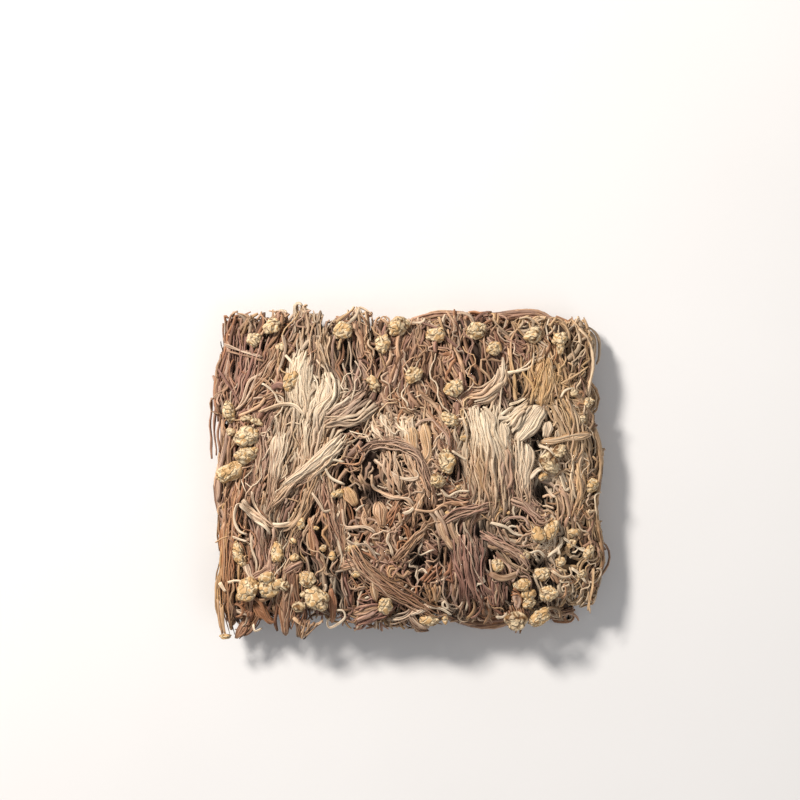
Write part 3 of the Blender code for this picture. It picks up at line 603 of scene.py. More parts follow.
@dataclass(frozen=True)
class Cap:
    """A cap at a given spot."""

    x: float  # Its middle's X
    y: float  # Its middle's Y
    diameter: float  # The root of its length times its width
    paleness: float = 0.6  # 1 for cream, 0 for brown
    oblong: float = 1.1  # The root of its length over its width
    turn: float = 20.0  # Direction of its length in degrees
    yellow: float = 0.3  # How golden it is, from 0 to 1

    def shape(self, rng: np.random.Generator) -> CapShape:
        """Its shape, resting on the stems under it and tilted a little at random.

        Args:
            rng: Random draws.

        Returns:
            The shape, in the clumps' frame.
        """
        x, y = np.array((self.x, self.y)) - CENTRING[:2]
        height = float(pressed(x, y)) + 0.20 * self.diameter + 0.5
        height = min(height, float(crest(x, y)) + ROOM_OVER_CREST["cap"])
        facing = (rng.uniform(-0.4, 0.4), rng.uniform(-0.4, 0.4), 1.0)
        rings = 22 if self.diameter > LARGE_CAP else 11
        tint = (self.paleness, self.yellow)
        return CapShape((x, y, height), self.diameter, facing, rings, self.oblong, self.turn, tint)


CAPS = made(
    Cap,
    (-53.3, 41.3, 7.2, 0.85, 1.18, 60, 0.6), (-58, 56.6, 4, 0.5, 1.1, 0, 0.1),
    (-81.5, 27.4, 6.8, 0.6, 1.4, 100, 0.6), (-80.7, 18.4, 4, 0.6),
    (-73.1, 16.5, 9.4, 0.55, 1.1, 20, 0.1), (-73.5, 8.2, 8.4, 0.65, 1.18, 10, 0.5),
    (-73.5, 24.6, 3.8, 0.4, 1.4, 10), (-68.6, 22.9, 4, 0.4, 1.3, 160),
    (-80.5, 0.4, 9.8, 1, 1.36, 30, 0.2), (-59.6, -35.4, 7, 0.7, 1.24, 90, 0.9),
    (-76.9, -37.2, 7, 0.75, 1.5, 105, 0.3), (-51.6, -38, 3.6, 0.9), (-38.7, -33.6, 3.1, 0.8),
    (-34.6, -37, 3.6, 0.7, 1.1, 90, 0.7), (-72.7, -52.3, 9.8, 1, 1.12, 60, 0.2),
    (-64, -47.7, 6.8, 0.75), (-63.2, -52.4, 7.6, 0.65, 1.1, 0, 0.5), (-58.6, -49.6, 4.4, 0.5),
    (-56.2, -50.7, 4.6, 0.3), (-45.9, -47.6, 6.8, 0.75, 1.05, 0, 0.3),
    (-41.6, -56.4, 10.2, 0.62, 1.1, 120, 0.4), (-47.5, -54.6, 3.2, 0.6),
    (-10.8, -59.7, 6.7, 0.7, 1.08, 90, 0.4), (8.6, -66.3, 6.2, 0.75, 1.3, 0, 0.3),
    (17.8, 24.2, 6.4, 0.55, 1.15, 150, 0.4), (24.5, 16.1, 3.6, 0.8),
    (16.7, 5.4, 8.2, 0.5, 1.16, 100, 0.2), (12.4, -3.3, 6.2, 0.6, 1.05, 0, 0.5), (67.5, 10, 5.7, 0.32),
    (62.8, 4.6, 8.2, 0.32, 1.12, 110, 0.3), (80.4, 31.6, 3.6, 0.5, 1.2, 90),
    (82.6, -6, 5.6, 0.6, 1.18, 70, 1), (60, -1.5, 3.8, 0.95), (21.7, -6.4, 2.1, 1),
    (57.9, -27.6, 6.3, 0.95, 1.15, 115, 0.6), (63.7, -25.5, 7.2, 0.95, 1.2, 70, 0.6),
    (40.8, -16.5, 2.1, 1), (39.5, -41.3, 5.2, 0.6, 1.1, 90), (50.4, -50.1, 5.9, 0.75, 1.2, 0),
    (53.6, -54.6, 5.6, 0.85), (53.8, -58.6, 5.2, 0.75), (62.6, -54.3, 7.2, 0.6),
    (59.5, -45.6, 6.2, 0.7), (58.7, -65.1, 8.2, 0.95, 1.3, 35, 0.4), (17, -18, 2.2, 0.9),
    (52, -37, 3.8, 0.7, 1.1, 0, 0.6), (81, -36, 5.2, 0.6, 1.2, 60, 0.6), (74, -27, 4.6, 0.6),
    (-48.4, -22.6, 4, 0.8, 1.4, 80, 0.1), (-27, -34, 3.6, 0.6), (-24, -32, 3, 0.7),
    (74, 36, 3.6, 0.5), (78, 24, 3.6, 0.5), (73, -32, 4.2, 0.7), (78, -46, 4.2, 0.6),
    (68, -40, 4.2, 0.7), (-62, 66, 7, 0.5), (-70, 60, 6), (-30, 64, 8, 0.8),
    (-12, 58, 7, 0.6, 1.2, 70), (-5, 66, 8.5, 0.7), (12, 62, 7, 0.9, 1.2, 10), (30, 64, 8, 0.6),
    (38, 56, 6, 0.7), (56, 62, 7, 0.5), (68, 60, 6.5, 0.6), (2, 44, 7, 0.8),
    (-16, 40, 6, 0.6, 1.3, 120), (20, 38, 7.5, 0.7), (48, -66.5, 8.6, 0.15, 1.08, 0, 0.2),
    (68, 56.5, 4.6, 0.8, 1.4, 90, 0.9), (81.4, 32.2, 3.8, 0.8, 1.1, 0, 0.5), (40, -12.1, 1.8, 1),
    (44.2, -17.7, 1.6, 1), (34.9, -5.5, 1.8, 0.9), (-32, -9, 4.5, 0.7, 1.3, 20, 0.6),
    (-41.8, -24.5, 2.2, 0.9, 1.1, 0, 0.8), (-52.3, -30.6, 2.9, 0.7),
    (-49.6, -60, 5.5, 0.15, 1.05, 0, 0.3), (-83.5, -74.5, 3.5, 0.95, 1.5, 0, 0.8),
    (-23.8, -45.2, 3.6, 0.7, 1.2, 20, 0.7), (16, -65.5, 3.6, 0.75, 1.3, 90, 0.3),
)


@dataclass
class Strands:
    """Stems as centrelines, with what is needed to put a skin on them."""

    paths: np.ndarray  # Centrelines in millimetres, one row of points a stem
    half_widths: np.ndarray  # Half the ribbon's width at each point
    flatness: np.ndarray  # Its thickness as a share of its width, one a stem
    roll: np.ndarray  # The ribbon's turn about its centreline at each point, in radians
    colour: np.ndarray  # Lightness, paleness, gold and mauve at each point
    shade: np.ndarray  # Russet, depth for the painted shade, and the stem's own number at each point

    def rings(self, sides: int, pinch: float) -> tuple[np.ndarray, np.ndarray]:
        """The ribbons' cross-sections, an oval whose two flat faces are pinched inwards.

        Args:
            sides: Points in a section.
            pinch: How deep the furrow along each flat face is, as a share of the thickness.

        Returns:
            The sections' points, and how near each is to a ribbon's rim.
        """
        tangents = unit(np.gradient(self.paths, axis=1))
        across = unit(np.cross(tangents, (0.0, 0.0, 1.0)))
        up = np.cross(across, tangents)
        cosine, sine = np.cos(self.roll)[..., None], np.sin(self.roll)[..., None]
        across, up = cosine * across + sine * up, cosine * up - sine * across
        angle = TURN * np.arange(sides) / sides
        reach = self.half_widths[..., None, None] * np.cos(angle)[:, None]
        rise = np.sin(angle) * (1 - pinch * np.sin(angle) ** 2)
        height = self.half_widths * self.flatness[:, None]
        skin = self.paths[:, :, None] + reach * across[:, :, None]
        skin = skin + height[..., None, None] * rise[:, None] * up[:, :, None]
        rim = np.broadcast_to(np.abs(np.cos(angle)), skin.shape[:3])
        return skin, rim


def unit(vectors: np.ndarray) -> np.ndarray:
    """Vectors scaled to a length of one."""
    return vectors / np.maximum(np.linalg.norm(vectors, axis=-1, keepdims=True), 1e-9)


def smooth_course(course: Sequence[float], steps: int) -> np.ndarray:
    """Points evenly spaced along a curve through a few spots.

    A Catmull-Rom curve: between two spots the point is a cubic whose slopes there are half
    the difference between each spot's neighbours.

    Args:
        course: X and Y of each spot, one after another, in the finished frame.
        steps: Number of points.

    Returns:
        The points in the clumps' frame, an array of steps rows and two columns.
    """
    spots = np.reshape(course, (-1, 2)) - CENTRING[:2]
    count = len(spots)
    spots = np.concatenate([[2 * spots[0] - spots[1]], spots, [2 * spots[-1] - spots[-2]]])
    along = np.linspace(0, count - 1, 12 * count)
    index = np.minimum(along.astype(int), count - 2)
    part = (along - index)[:, None]
    before, start, end, after = (spots[index + shift] for shift in range(4))
    cubic = part * (3 * (start - end) + after - before)
    square = part * (2 * before - 5 * start + 4 * end - after + cubic)
    curve = start + 0.5 * part * (end - before + square)
    lengths = np.concatenate([[0], np.cumsum(np.linalg.norm(np.diff(curve, axis=0), axis=1))])
    wanted = np.linspace(0, lengths[-1], steps)
    return np.stack([np.interp(wanted, lengths, curve[:, axis]) for axis in range(2)], axis=1)


def waves(rng: np.random.Generator, along: np.ndarray, shortest: float, longest: float) -> np.ndarray:
    """A sine wave over the millimetres along each stem, with a drawn length and phase."""
    lengths = rng.uniform(shortest, longest, (len(along), 1))
    return np.sin(TURN * (along / lengths + rng.uniform(0, 1, (len(along), 1))))


class MeshStack:
    """Collects closed skins and makes one mesh of them."""

    def __init__(self) -> None:
        """Starts with nothing."""
        self.points: list[np.ndarray] = []
        self.corners: list[np.ndarray] = []
        self.starts: list[np.ndarray] = []
        self.uvs: list[np.ndarray] = []
        self.colours: list[np.ndarray] = []
        self.shades: list[np.ndarray] = []
        self.point_total = 0
        self.corner_total = 0

    def add(self, rings: np.ndarray, colour: np.ndarray, shade: np.ndarray) -> None:
        """Adds skins over rings of points: quads between rings and one face at each end.

        Args:
            rings: Points of each skin, by skin, ring and place round the ring.
            colour: Four values a point, for the attribute "tint".
            shade: Four values a point, for the attribute "form".
        """
        count, steps, sides = rings.shape[:3]
        index = self.point_total + np.arange(count * steps * sides).reshape(count, steps, sides)
        after = np.roll(index, -1, axis=2)
        quads = np.stack([index[:, :-1], index[:, 1:], after[:, 1:], after[:, :-1]], axis=-1)
        ends = np.concatenate([index[:, 0], index[:, -1, ::-1]])
        gaps = np.linalg.norm(np.diff(rings.mean(axis=2), axis=1), axis=2)
        along = np.concatenate([np.zeros((count, 1)), np.cumsum(gaps, axis=1)], axis=1) * UV_PER_MM
        low, high = along[:, :-1, None], along[:, 1:, None]
        around = np.arange(sides) / sides
        shape = (count, steps - 1, sides)
        u = [np.broadcast_to(around + shift, shape) for shift in (0, 0, 1 / sides, 1 / sides)]
        v = [np.broadcast_to(value, shape) for value in (low, high, high, low)]
        quad_uvs = np.stack([np.stack(u, axis=-1), np.stack(v, axis=-1)], axis=-1)
        end_v = np.concatenate([along[:, 0], along[:, -1]])[:, None]
        end_uvs = np.stack(np.broadcast_arrays(around[None, :], end_v), axis=-1)
        self.points.append(rings.reshape(-1, 3))
        self.colours.append(colour.reshape(-1, 4))
        self.shades.append(shade.reshape(-1, 4))
        self.corners += [quads.reshape(-1), ends.reshape(-1)]
        self.starts.append(self.corner_total + 4 * np.arange(quads.size // 4))
        self.starts.append(self.corner_total + quads.size + sides * np.arange(2 * count))
        self.uvs += [quad_uvs.reshape(-1, 2), end_uvs.reshape(-1, 2)]
        self.point_total += count * steps * sides
        self.corner_total += quads.size + ends.size

    def add_strands(self, strands: Strands, sides: int, pinch: float) -> None:
        """Adds the skins of stems.

        Args:
            strands: The stems.
            sides: Points in a section.
            pinch: Depth of the furrow along a ribbon's faces.
        """
        rings, rim = strands.rings(sides, pinch)
        colour = np.repeat(strands.colour[:, :, None], sides, axis=2)
        shade = np.repeat(strands.shade[:, :, None], sides, axis=2)
        form = np.stack([rim, shade[..., 0], shade[..., 1], shade[..., 2]], axis=-1)
        self.add(rings, colour, form)

    def object(self, name: str, material: bpy.types.Material) -> bpy.types.Object:
        """Makes the mesh and its object, in metres.

        Args:
            name: Name of the piece.
            material: Its finish.

        Returns:
            The object, linked to the scene, at the origin.
        """
        points = np.concatenate(self.points) + CENTRING
        points[:, 2] = np.maximum(points[:, 2], LOWEST_POINT)
        corners = np.concatenate(self.corners)
        starts = np.concatenate(self.starts)
        mesh = bpy.data.meshes.new(name)
        mesh.vertices.add(len(points))
        mesh.vertices.foreach_set("co", (points * MM).astype(np.float32).ravel())
        mesh.loops.add(len(corners))
        mesh.loops.foreach_set("vertex_index", corners.astype(np.int32))
        mesh.polygons.add(len(starts))
        mesh.polygons.foreach_set("loop_start", starts.astype(np.int32))
        mesh.polygons.foreach_set("use_smooth", np.ones(len(starts), dtype=bool))
        uv_map = mesh.uv_layers.new(name="UVMap")
        uv_map.data.foreach_set("uv", np.concatenate(self.uvs).astype(np.float32).ravel())
        for label, values in (("tint", self.colours), ("form", self.shades)):
            layer = mesh.color_attributes.new(label, "FLOAT_COLOR", "POINT")
            layer.data.foreach_set("color", np.concatenate(values).astype(np.float32).ravel())
        mesh.update(calc_edges=True)
        mesh.validate()
        mesh.materials.append(material)
        piece = bpy.data.objects.new(name, mesh)
        bpy.context.scene.collection.objects.link(piece)
        return piece


class StemGrower:
    """Draws the courses, sizes and colours of one piece's stems and adds their skins."""

    def __init__(self, rng: np.random.Generator, stack: MeshStack) -> None:
        """Keeps the random draws and where the skins go."""
        self.rng = rng
        self.stack = stack

    def add(
        self,
        paths: np.ndarray,
        half_width: np.ndarray,
        tones: np.ndarray,
        depth: np.ndarray,
        twist: float = 0.5,
        root_width: float = 0.8,
        roundness: tuple[float, float] = (0.45, 0.9),
        fading: float = 0.0,
        sides: int = 4,
        pinch: float = 0.0,
    ) -> None:
        """Gives centrelines the widths, twists and colours of dried stems, and adds them.

        Args:
            paths: Centrelines in millimetres.
            half_width: Half the width of each stem.
            tones: Five colour values a stem, as a Tone has them.
            depth: How deep each point lies, 0 on top and 1 in a gap, which the finish paints as shade.
            twist: How far ribbons turn about themselves, in radians.
            root_width: A stem's width at its first end, as a share of its width.
            roundness: The least and the most of a ribbon's thickness over its width.
            fading: Share of its own paleness that a stem has lost at its far end.
            sides: Points in a section.
            pinch: Depth of the furrow along a ribbon's faces.
        """
        rng = self.rng
        count, steps = paths.shape[:2]
        gaps = np.linalg.norm(np.diff(paths, axis=1), axis=2)
        along = np.concatenate([np.zeros((count, 1)), np.cumsum(gaps, axis=1)], axis=1)
        part = np.linspace(0, 1, steps)
        swell = 1 + 0.16 * waves(rng, along, 14, 40) + 0.10 * waves(rng, along, 6, 13)
        ends = np.interp(part, (0, 0.1, 0.85, 1), (root_width, 1.0, 0.9, 0.6))
        widths = half_width[:, None] * swell * ends
        roll = twist * (waves(rng, along, 20, 60) + 0.5 * rng.normal(0, 1, (count, 1)))
        x, y = paths[..., 0], paths[..., 1]
        spread = rng.normal(0, 1, (count, 1))
        light = tones[:, 0:1] + 0.22 * spread + 0.08 * waves(rng, along, 8, 30)
        light = light - total(GLOOM_ZONES, x, y)
        own_pale = tones[:, 1:2] * (1 - fading * part)
        pale = own_pale + total(PALE_ZONES, x, y) * rng.uniform(0.25, 1.0, (count, 1))
        pale = pale + 0.2 * np.maximum(spread - 0.9, 0)
        gold, mauve, russet = (
            tones[:, column : column + 1] + total(zones, x, y) * rng.uniform(least, 1.0, (count, 1))
            for column, zones, least in TINTED_ZONES
        )
        colour = np.clip(np.stack(np.broadcast_arrays(light, pale, gold, mauve), axis=-1), 0, 1)
        own = np.broadcast_to(rng.uniform(0, 1, (count, 1)), x.shape)
        shade = np.clip(np.stack(np.broadcast_arrays(russet, depth, own), axis=-1), 0, 1)
        flatness = rng.uniform(*roundness, count)
        self.stack.add_strands(Strands(paths, widths, flatness, roll, colour, shade), sides, pinch)

    def wandering(
        self, lengths: np.ndarray, unrest: np.ndarray, bend: np.ndarray
    ) -> tuple[np.ndarray, np.ndarray, np.ndarray]:
        """Courses whose heading sways: its waves and its bend add up, and steps follow it.

        Args:
            lengths: Length of each stem.
            unrest: Size of each stem's sway, in radians.
            bend: Each stem's steady turn in radians a millimetre.

        Returns:
            How far each point is along and across the stem's first direction, and how many
            millimetres it is from the stem's start.
        """
        rng = self.rng
        along = lengths[:, None] * np.linspace(0, 1, WANDERING_STEPS)
        heading = unrest[:, None] * (waves(rng, along, 22, 55) + 0.6 * waves(rng, along, 13, 22))
        heading = heading + bend[:, None] * (along - lengths[:, None] / 2)
        heading = heading + 0.35 * unrest[:, None] * rng.normal(0, 1, (len(lengths), 1))
        step = np.diff(along, axis=1)
        middle = (heading[:, 1:] + heading[:, :-1]) / 2
        start = np.zeros((len(lengths), 1))
        forward = np.concatenate([start, np.cumsum(np.cos(middle) * step, axis=1)], axis=1)
        aside = np.concatenate([start, np.cumsum(np.sin(middle) * step, axis=1)], axis=1)
        return forward, aside, along


class Flow:
    """Which way the stems lie at each spot of the top.

    Directions are kept as vectors at twice the angle, so that a stem and the same stem
    turned end for end count alike. The seams give the first guess, the listed courses pull
    it their way, and slow swirls unsettle it.
    """

    STEP = 2.0
    LOW_X = -100.0
    LOW_Y = -90.0
    COUNT_X = 101
    COUNT_Y = 87

    def __init__(self) -> None:
        """Fills the grid of directions."""
        x = self.LOW_X + self.STEP * np.arange(self.COUNT_X)
        y = self.LOW_Y + self.STEP * np.arange(self.COUNT_Y)
        seams = range(len(SEAMS))
        before, after = (np.stack([seam_x(index, y + shift) for index in seams]) for shift in (-1, 1))
        lean = [np.interp(x, before[:, row], (after - before)[:, row] / 2) for row in range(len(y))]
        angle = np.arctan2(1.0, np.stack(lean, axis=1))
        x, y = np.meshgrid(x, y, indexing="ij")
        twice = 0.30 * np.stack([np.cos(2 * angle), np.sin(2 * angle)], axis=-1)
        strokes = [(sheaf.course, 2.5 + sum(sheaf.width) / 5, 1.0) for sheaf in SHEAVES]
        strokes += [(loose.course, 3.0, 0.4) for loose in LOOSE_STEMS]
        for course, reach, weight in strokes:
            points = smooth_course(course, 14)
            gaps = np.gradient(points, axis=0)
            ways = unit(gaps)
            pull = np.stack([ways[:, 0] ** 2 - ways[:, 1] ** 2, 2 * ways[:, 0] * ways[:, 1]], axis=-1)
            away = (x[..., None] - points[:, 0]) ** 2 + (y[..., None] - points[:, 1]) ** 2
            share = weight * np.linalg.norm(gaps, axis=1) / reach
            twice += (np.exp(-away / (2 * reach**2)) * share) @ pull
        swirl = np.sin(x / 7.3 + 2.0 * np.sin(y / 9.1)) + np.sin(y / 6.1 + 1.5 * np.sin(x / 8.3) + 1.0)
        turn = 2 * swirl * (0.09 + 0.55 * np.minimum(total(TANGLES, x, y), 1.0))
        cosine, sine = np.cos(turn), np.sin(turn)
        turned = cosine * twice[..., 0] - sine * twice[..., 1], sine * twice[..., 0] + cosine * twice[..., 1]
        self.twice = np.stack(turned, axis=-1)

    def heading(self, x: np.ndarray, y: np.ndarray) -> np.ndarray:
        """The angle at which stems lie, linear between the grid's points.

        Args:
            x: X of each spot.
            y: Y of each spot.

        Returns:
            The angles in radians, up to a quarter turn either way.
        """
        across = np.clip((x - self.LOW_X) / self.STEP, 0, self.twice.shape[0] - 1.001)
        along = np.clip((y - self.LOW_Y) / self.STEP, 0, self.twice.shape[1] - 1.001)
        i, j = across.astype(int), along.astype(int)
        a, b = (across - i)[..., None], (along - j)[..., None]
        low = self.twice[i, j] * (1 - a) + self.twice[i + 1, j] * a
        high = self.twice[i, j + 1] * (1 - a) + self.twice[i + 1, j + 1] * a
        value = low * (1 - b) + high * b
        return 0.5 * np.arctan2(value[..., 1], value[..., 0])

    def trace(self, spots: np.ndarray, stride: np.ndarray, ahead: np.ndarray, sway: np.ndarray) -> np.ndarray:
        """Courses that follow the lie of the stems and sway about it.

        Args:
            spots: Where the stems start.
            stride: Millimetres a step, one a stem.
            ahead: About which way each stem sets out, an angle.
            sway: What is added to a stem's heading at each step, one row a stem.

        Returns:
            The courses' points, by stem and step.
        """
        way = ahead
        course = [spots]
        for lean in sway.T[1:]:
            turn = self.heading(course[-1][:, 0], course[-1][:, 1]) - way
            way = way + turn - math.pi * np.round(turn / math.pi)
            angle = way + lean
            step = np.stack([np.cos(angle), np.sin(angle)], axis=-1)
            course.append(course[-1] + stride[:, None] * step)
        return np.stack(course, axis=1)


def spare_room(x: np.ndarray, y: np.ndarray) -> np.ndarray:
    """How far inside the top's outline a spot lies, below zero outside it."""
    aside = np.minimum(x - seam_x(0, y), seam_x(len(SEAMS) - 1, y) - x)
    ends = np.minimum(y - np.interp(x, END_AT, LOW_ENDS), np.interp(x, END_AT, HIGH_ENDS) - y)
    return np.minimum(aside, ends)


def part_of(course: np.ndarray, begin: np.ndarray, end: np.ndarray, steps: int) -> np.ndarray:
    """Stretches of courses, resampled.

    Args:
        course: Points by course and step.
        begin: Where each stretch starts, from 0 to 1.
        end: Where it ends.
        steps: Points wanted.

    Returns:
        Points by course and step.
    """
    at = (begin[:, None] + (end - begin)[:, None] * np.linspace(0, 1, steps)) * (course.shape[1] - 1.001)
    low = at.astype(int)
    share = (at - low)[..., None]
    row = np.arange(len(course))[:, None]
    return course[row, low] * (1 - share) + course[row, low + 1] * share


def clump_length(clump: Clump) -> float:
    """The clump's length along its middle."""
    return float(np.linalg.norm(clump.place(1.0, 0.0, 0.0) - clump.place(0.0, 0.0, 0.0)))


def held_in(first: np.ndarray, lengths: np.ndarray, reach: float, over: np.ndarray) -> np.ndarray:
    """The t at which stems start, so that none begins before the root or ends over past the head."""
    return np.clip(first, -0.02, np.maximum(1 + (over - lengths) / reach, -0.02))


def edge_range(side: int, least: float) -> tuple[float, float]:
    """The range of u from a share of the way to one side up to that side."""
    return (least, 1.0) if side > 0 else (-1.0, -least)


def half_sizes(clump: Clump, t: np.ndarray) -> tuple[np.ndarray, np.ndarray]:
    """Half the width and half the thickness of the clump's space at t."""
    width = np.linalg.norm(clump.place(t, 1.0, 0.0) - clump.place(t, -1.0, 0.0), axis=-1) / 2
    depth = np.linalg.norm(clump.place(t, 0.0, 1.0) - clump.place(t, 0.0, -1.0), axis=-1) / 2
    return width, depth


def tones_of(rng: np.random.Generator, shares: dict[Tone, float], count: int) -> np.ndarray:
    """Five colour values for each stem, drawn by the shares of the tones."""
    values = np.array([tone.value for tone in shares])
    chances = np.array(list(shares.values()))
    return values[rng.choice(len(values), size=count, p=chances / chances.sum())]


SLOT_TONES = {
    "mauve_brown": {MAUVE: 5, BROWN: 3, TAN: 3, RUSSET: 1.2, UMBER: 1.6, LAVENDER: 1.5},
    "pale_straw": {PALE: 4, TAN: 3, MAUVE: 2.4, LAVENDER: 1.2, BROWN: 1.6, CREAM: 0.6},
    "golden_tan": {TAN: 4, GOLD: 1.6, MAUVE: 2.2, BROWN: 2.2, PALE: 1.6, UMBER: 0.8},
}
CURL_TONES = {TAN: 3, PALE: 2.2, CREAM: 1.2, GOLD: 1.0, RUSSET: 1.0, MAUVE: 1.2}


@dataclass(frozen=True)
class ClumpCore:
    """The fused middle of a clump, of which only the gaps between stems show; its dark colour is painted
    shade.
    """

    clump: Clump
    stations: int = 24  # Rings along it
    across: int = 31  # Points over its ridged side
    inset: float = CORE_DEPTH  # How far it lies under the stems' surface

    def build(self, stack: MeshStack, rng: np.random.Generator) -> None:
        """Adds the core's skin: a superellipse carried along the clump, with sine ridges.

        Args:
            stack: Where the skin goes.
            rng: Random draws.
        """
        clump = self.clump
        t = np.linspace(0.0, 1.0, self.stations)[:, None]
        turn = np.linspace(math.pi, 0, self.across)
        reach = np.interp(t, TAPER_AT, TAPER_WIDTH) * 0.94
        ridged_u = np.sign(np.cos(turn)) * np.abs(np.cos(turn)) ** (2 / SECTION_POWER)
        rise = np.abs(np.sin(turn)) ** (2 / SECTION_POWER)
        width, depth = half_sizes(clump, t[:, 0])
        phase = rng.uniform(0, TURN)
        ridges = np.sin(ridged_u * width[:, None] * TURN / 2.6 + 2.2 * np.sin(t * 9 + phase) + phase)
        height = (RIDGE_V - WAIST_V) * np.interp(t, TAPER_AT, TAPER_DEPTH)
        height = height - (self.inset - 0.7 * ridges) / depth[:, None]
        if isinstance(clump, ColumnClump):
            spots = clump.place(t, ridged_u * reach, 0.0)
            height = height - 0.8 * total(HOLLOWS, spots[..., 0], spots[..., 1]) / depth[:, None]
        v = clump.facing * (WAIST_V + np.maximum(height, 0.25) * rise)
        back_u = reach * np.array([0.8, 0.4, 0.0, -0.4, -0.8])
        u = np.concatenate([ridged_u * reach, back_u], axis=1)
        v = np.concatenate([v, np.full(back_u.shape, clump.facing * -0.9)], axis=1)
        rings = clump.place(0.02 + 0.96 * t, u, v)[None]
        rings = facing_out(rings)
        # Painted shade: the core takes the dark gap colour all over
        colour = np.zeros((*rings.shape[:3], 4))
        colour[..., 0] = 0.3
        form = np.zeros_like(colour)
        form[..., 2] = 0.85
        stack.add(rings, colour, form)


def facing_out(rings: np.ndarray) -> np.ndarray:
    """Rings in the order that turns their quads outwards: against the way they are carried.

    Args:
        rings: Points of one skin, by skin, ring and place round the ring.

    Returns:
        The same points, each ring the other way round where that is needed.
    """
    ring = rings[0, len(rings[0]) // 2]
    ahead = rings[0, -1].mean(axis=0) - rings[0, 0].mean(axis=0)
    area = np.cross(ring - ring.mean(axis=0), np.roll(ring, -1, axis=0) - ring.mean(axis=0)).sum(axis=0)
    return rings[:, :, ::-1] if np.dot(area, ahead) > 0 else rings


@dataclass(frozen=True)
class Growth:
    """One way in which stems lie on the top, in wisps that share a course."""

    density: float  # Wisps on a square millimetre
    members: int  # Stems in a wisp
    lengths: tuple[float, float]  # The shortest and the longest course
    half_widths: tuple[float, float]  # Half the width of the thinnest stem and of the thickest
    sway: float  # How far courses sway, as a share of the clump's own unrest
    bend: float  # How far courses turn steadily, in radians a millimetre
    lift: float  # How far the stems lie over the pressed surface
    scatter: float  # How far below that they may lie
    settled: float = 1.0  # Share of the wisps that grow where nothing is tangled
    tangled: float = 1.0  # Share of them that grow where all is tangled
    curly: bool = False  # Whether the tones are those of the short curled stems
    # The least and the most of a ribbon's thickness over its width
    flatness: tuple[float, float] = (0.5, 0.95)


GROWTHS = made(
    Growth,
    (0.006, 5, (30, 70), (0.55, 0.90), 1.0, 0.005, -3.0, 1.0),
    (0.013, 4, (26, 74), (0.40, 0.72), 0.9, 0.006, 0.2, 1.5, 1.0, 0.5),
    (0.027, 1, (22, 64), (0.42, 0.88), 1.3, 0.010, 0.5, 1.8),
    (0.009, 1, (18, 52), (0.90, 1.40), 1.1, 0.010, 0.4, 1.3, 1.0, 0.7, False, (0.22, 0.45)),
    (0.021, 1, (12, 40), (0.30, 0.48), 2.2, 0.035, 1.5, 0.6, 0.6, 1.0, True),
    (0.046, 1, (7, 24), (0.42, 0.80), 2.4, 0.12, 1.1, 1.5, 0.22, 1.0, True),
    (0.016, 2, (12, 34), (0.38, 0.66), 2.2, 0.07, 0.8, 1.2, 0.10, 1.0, True),
)


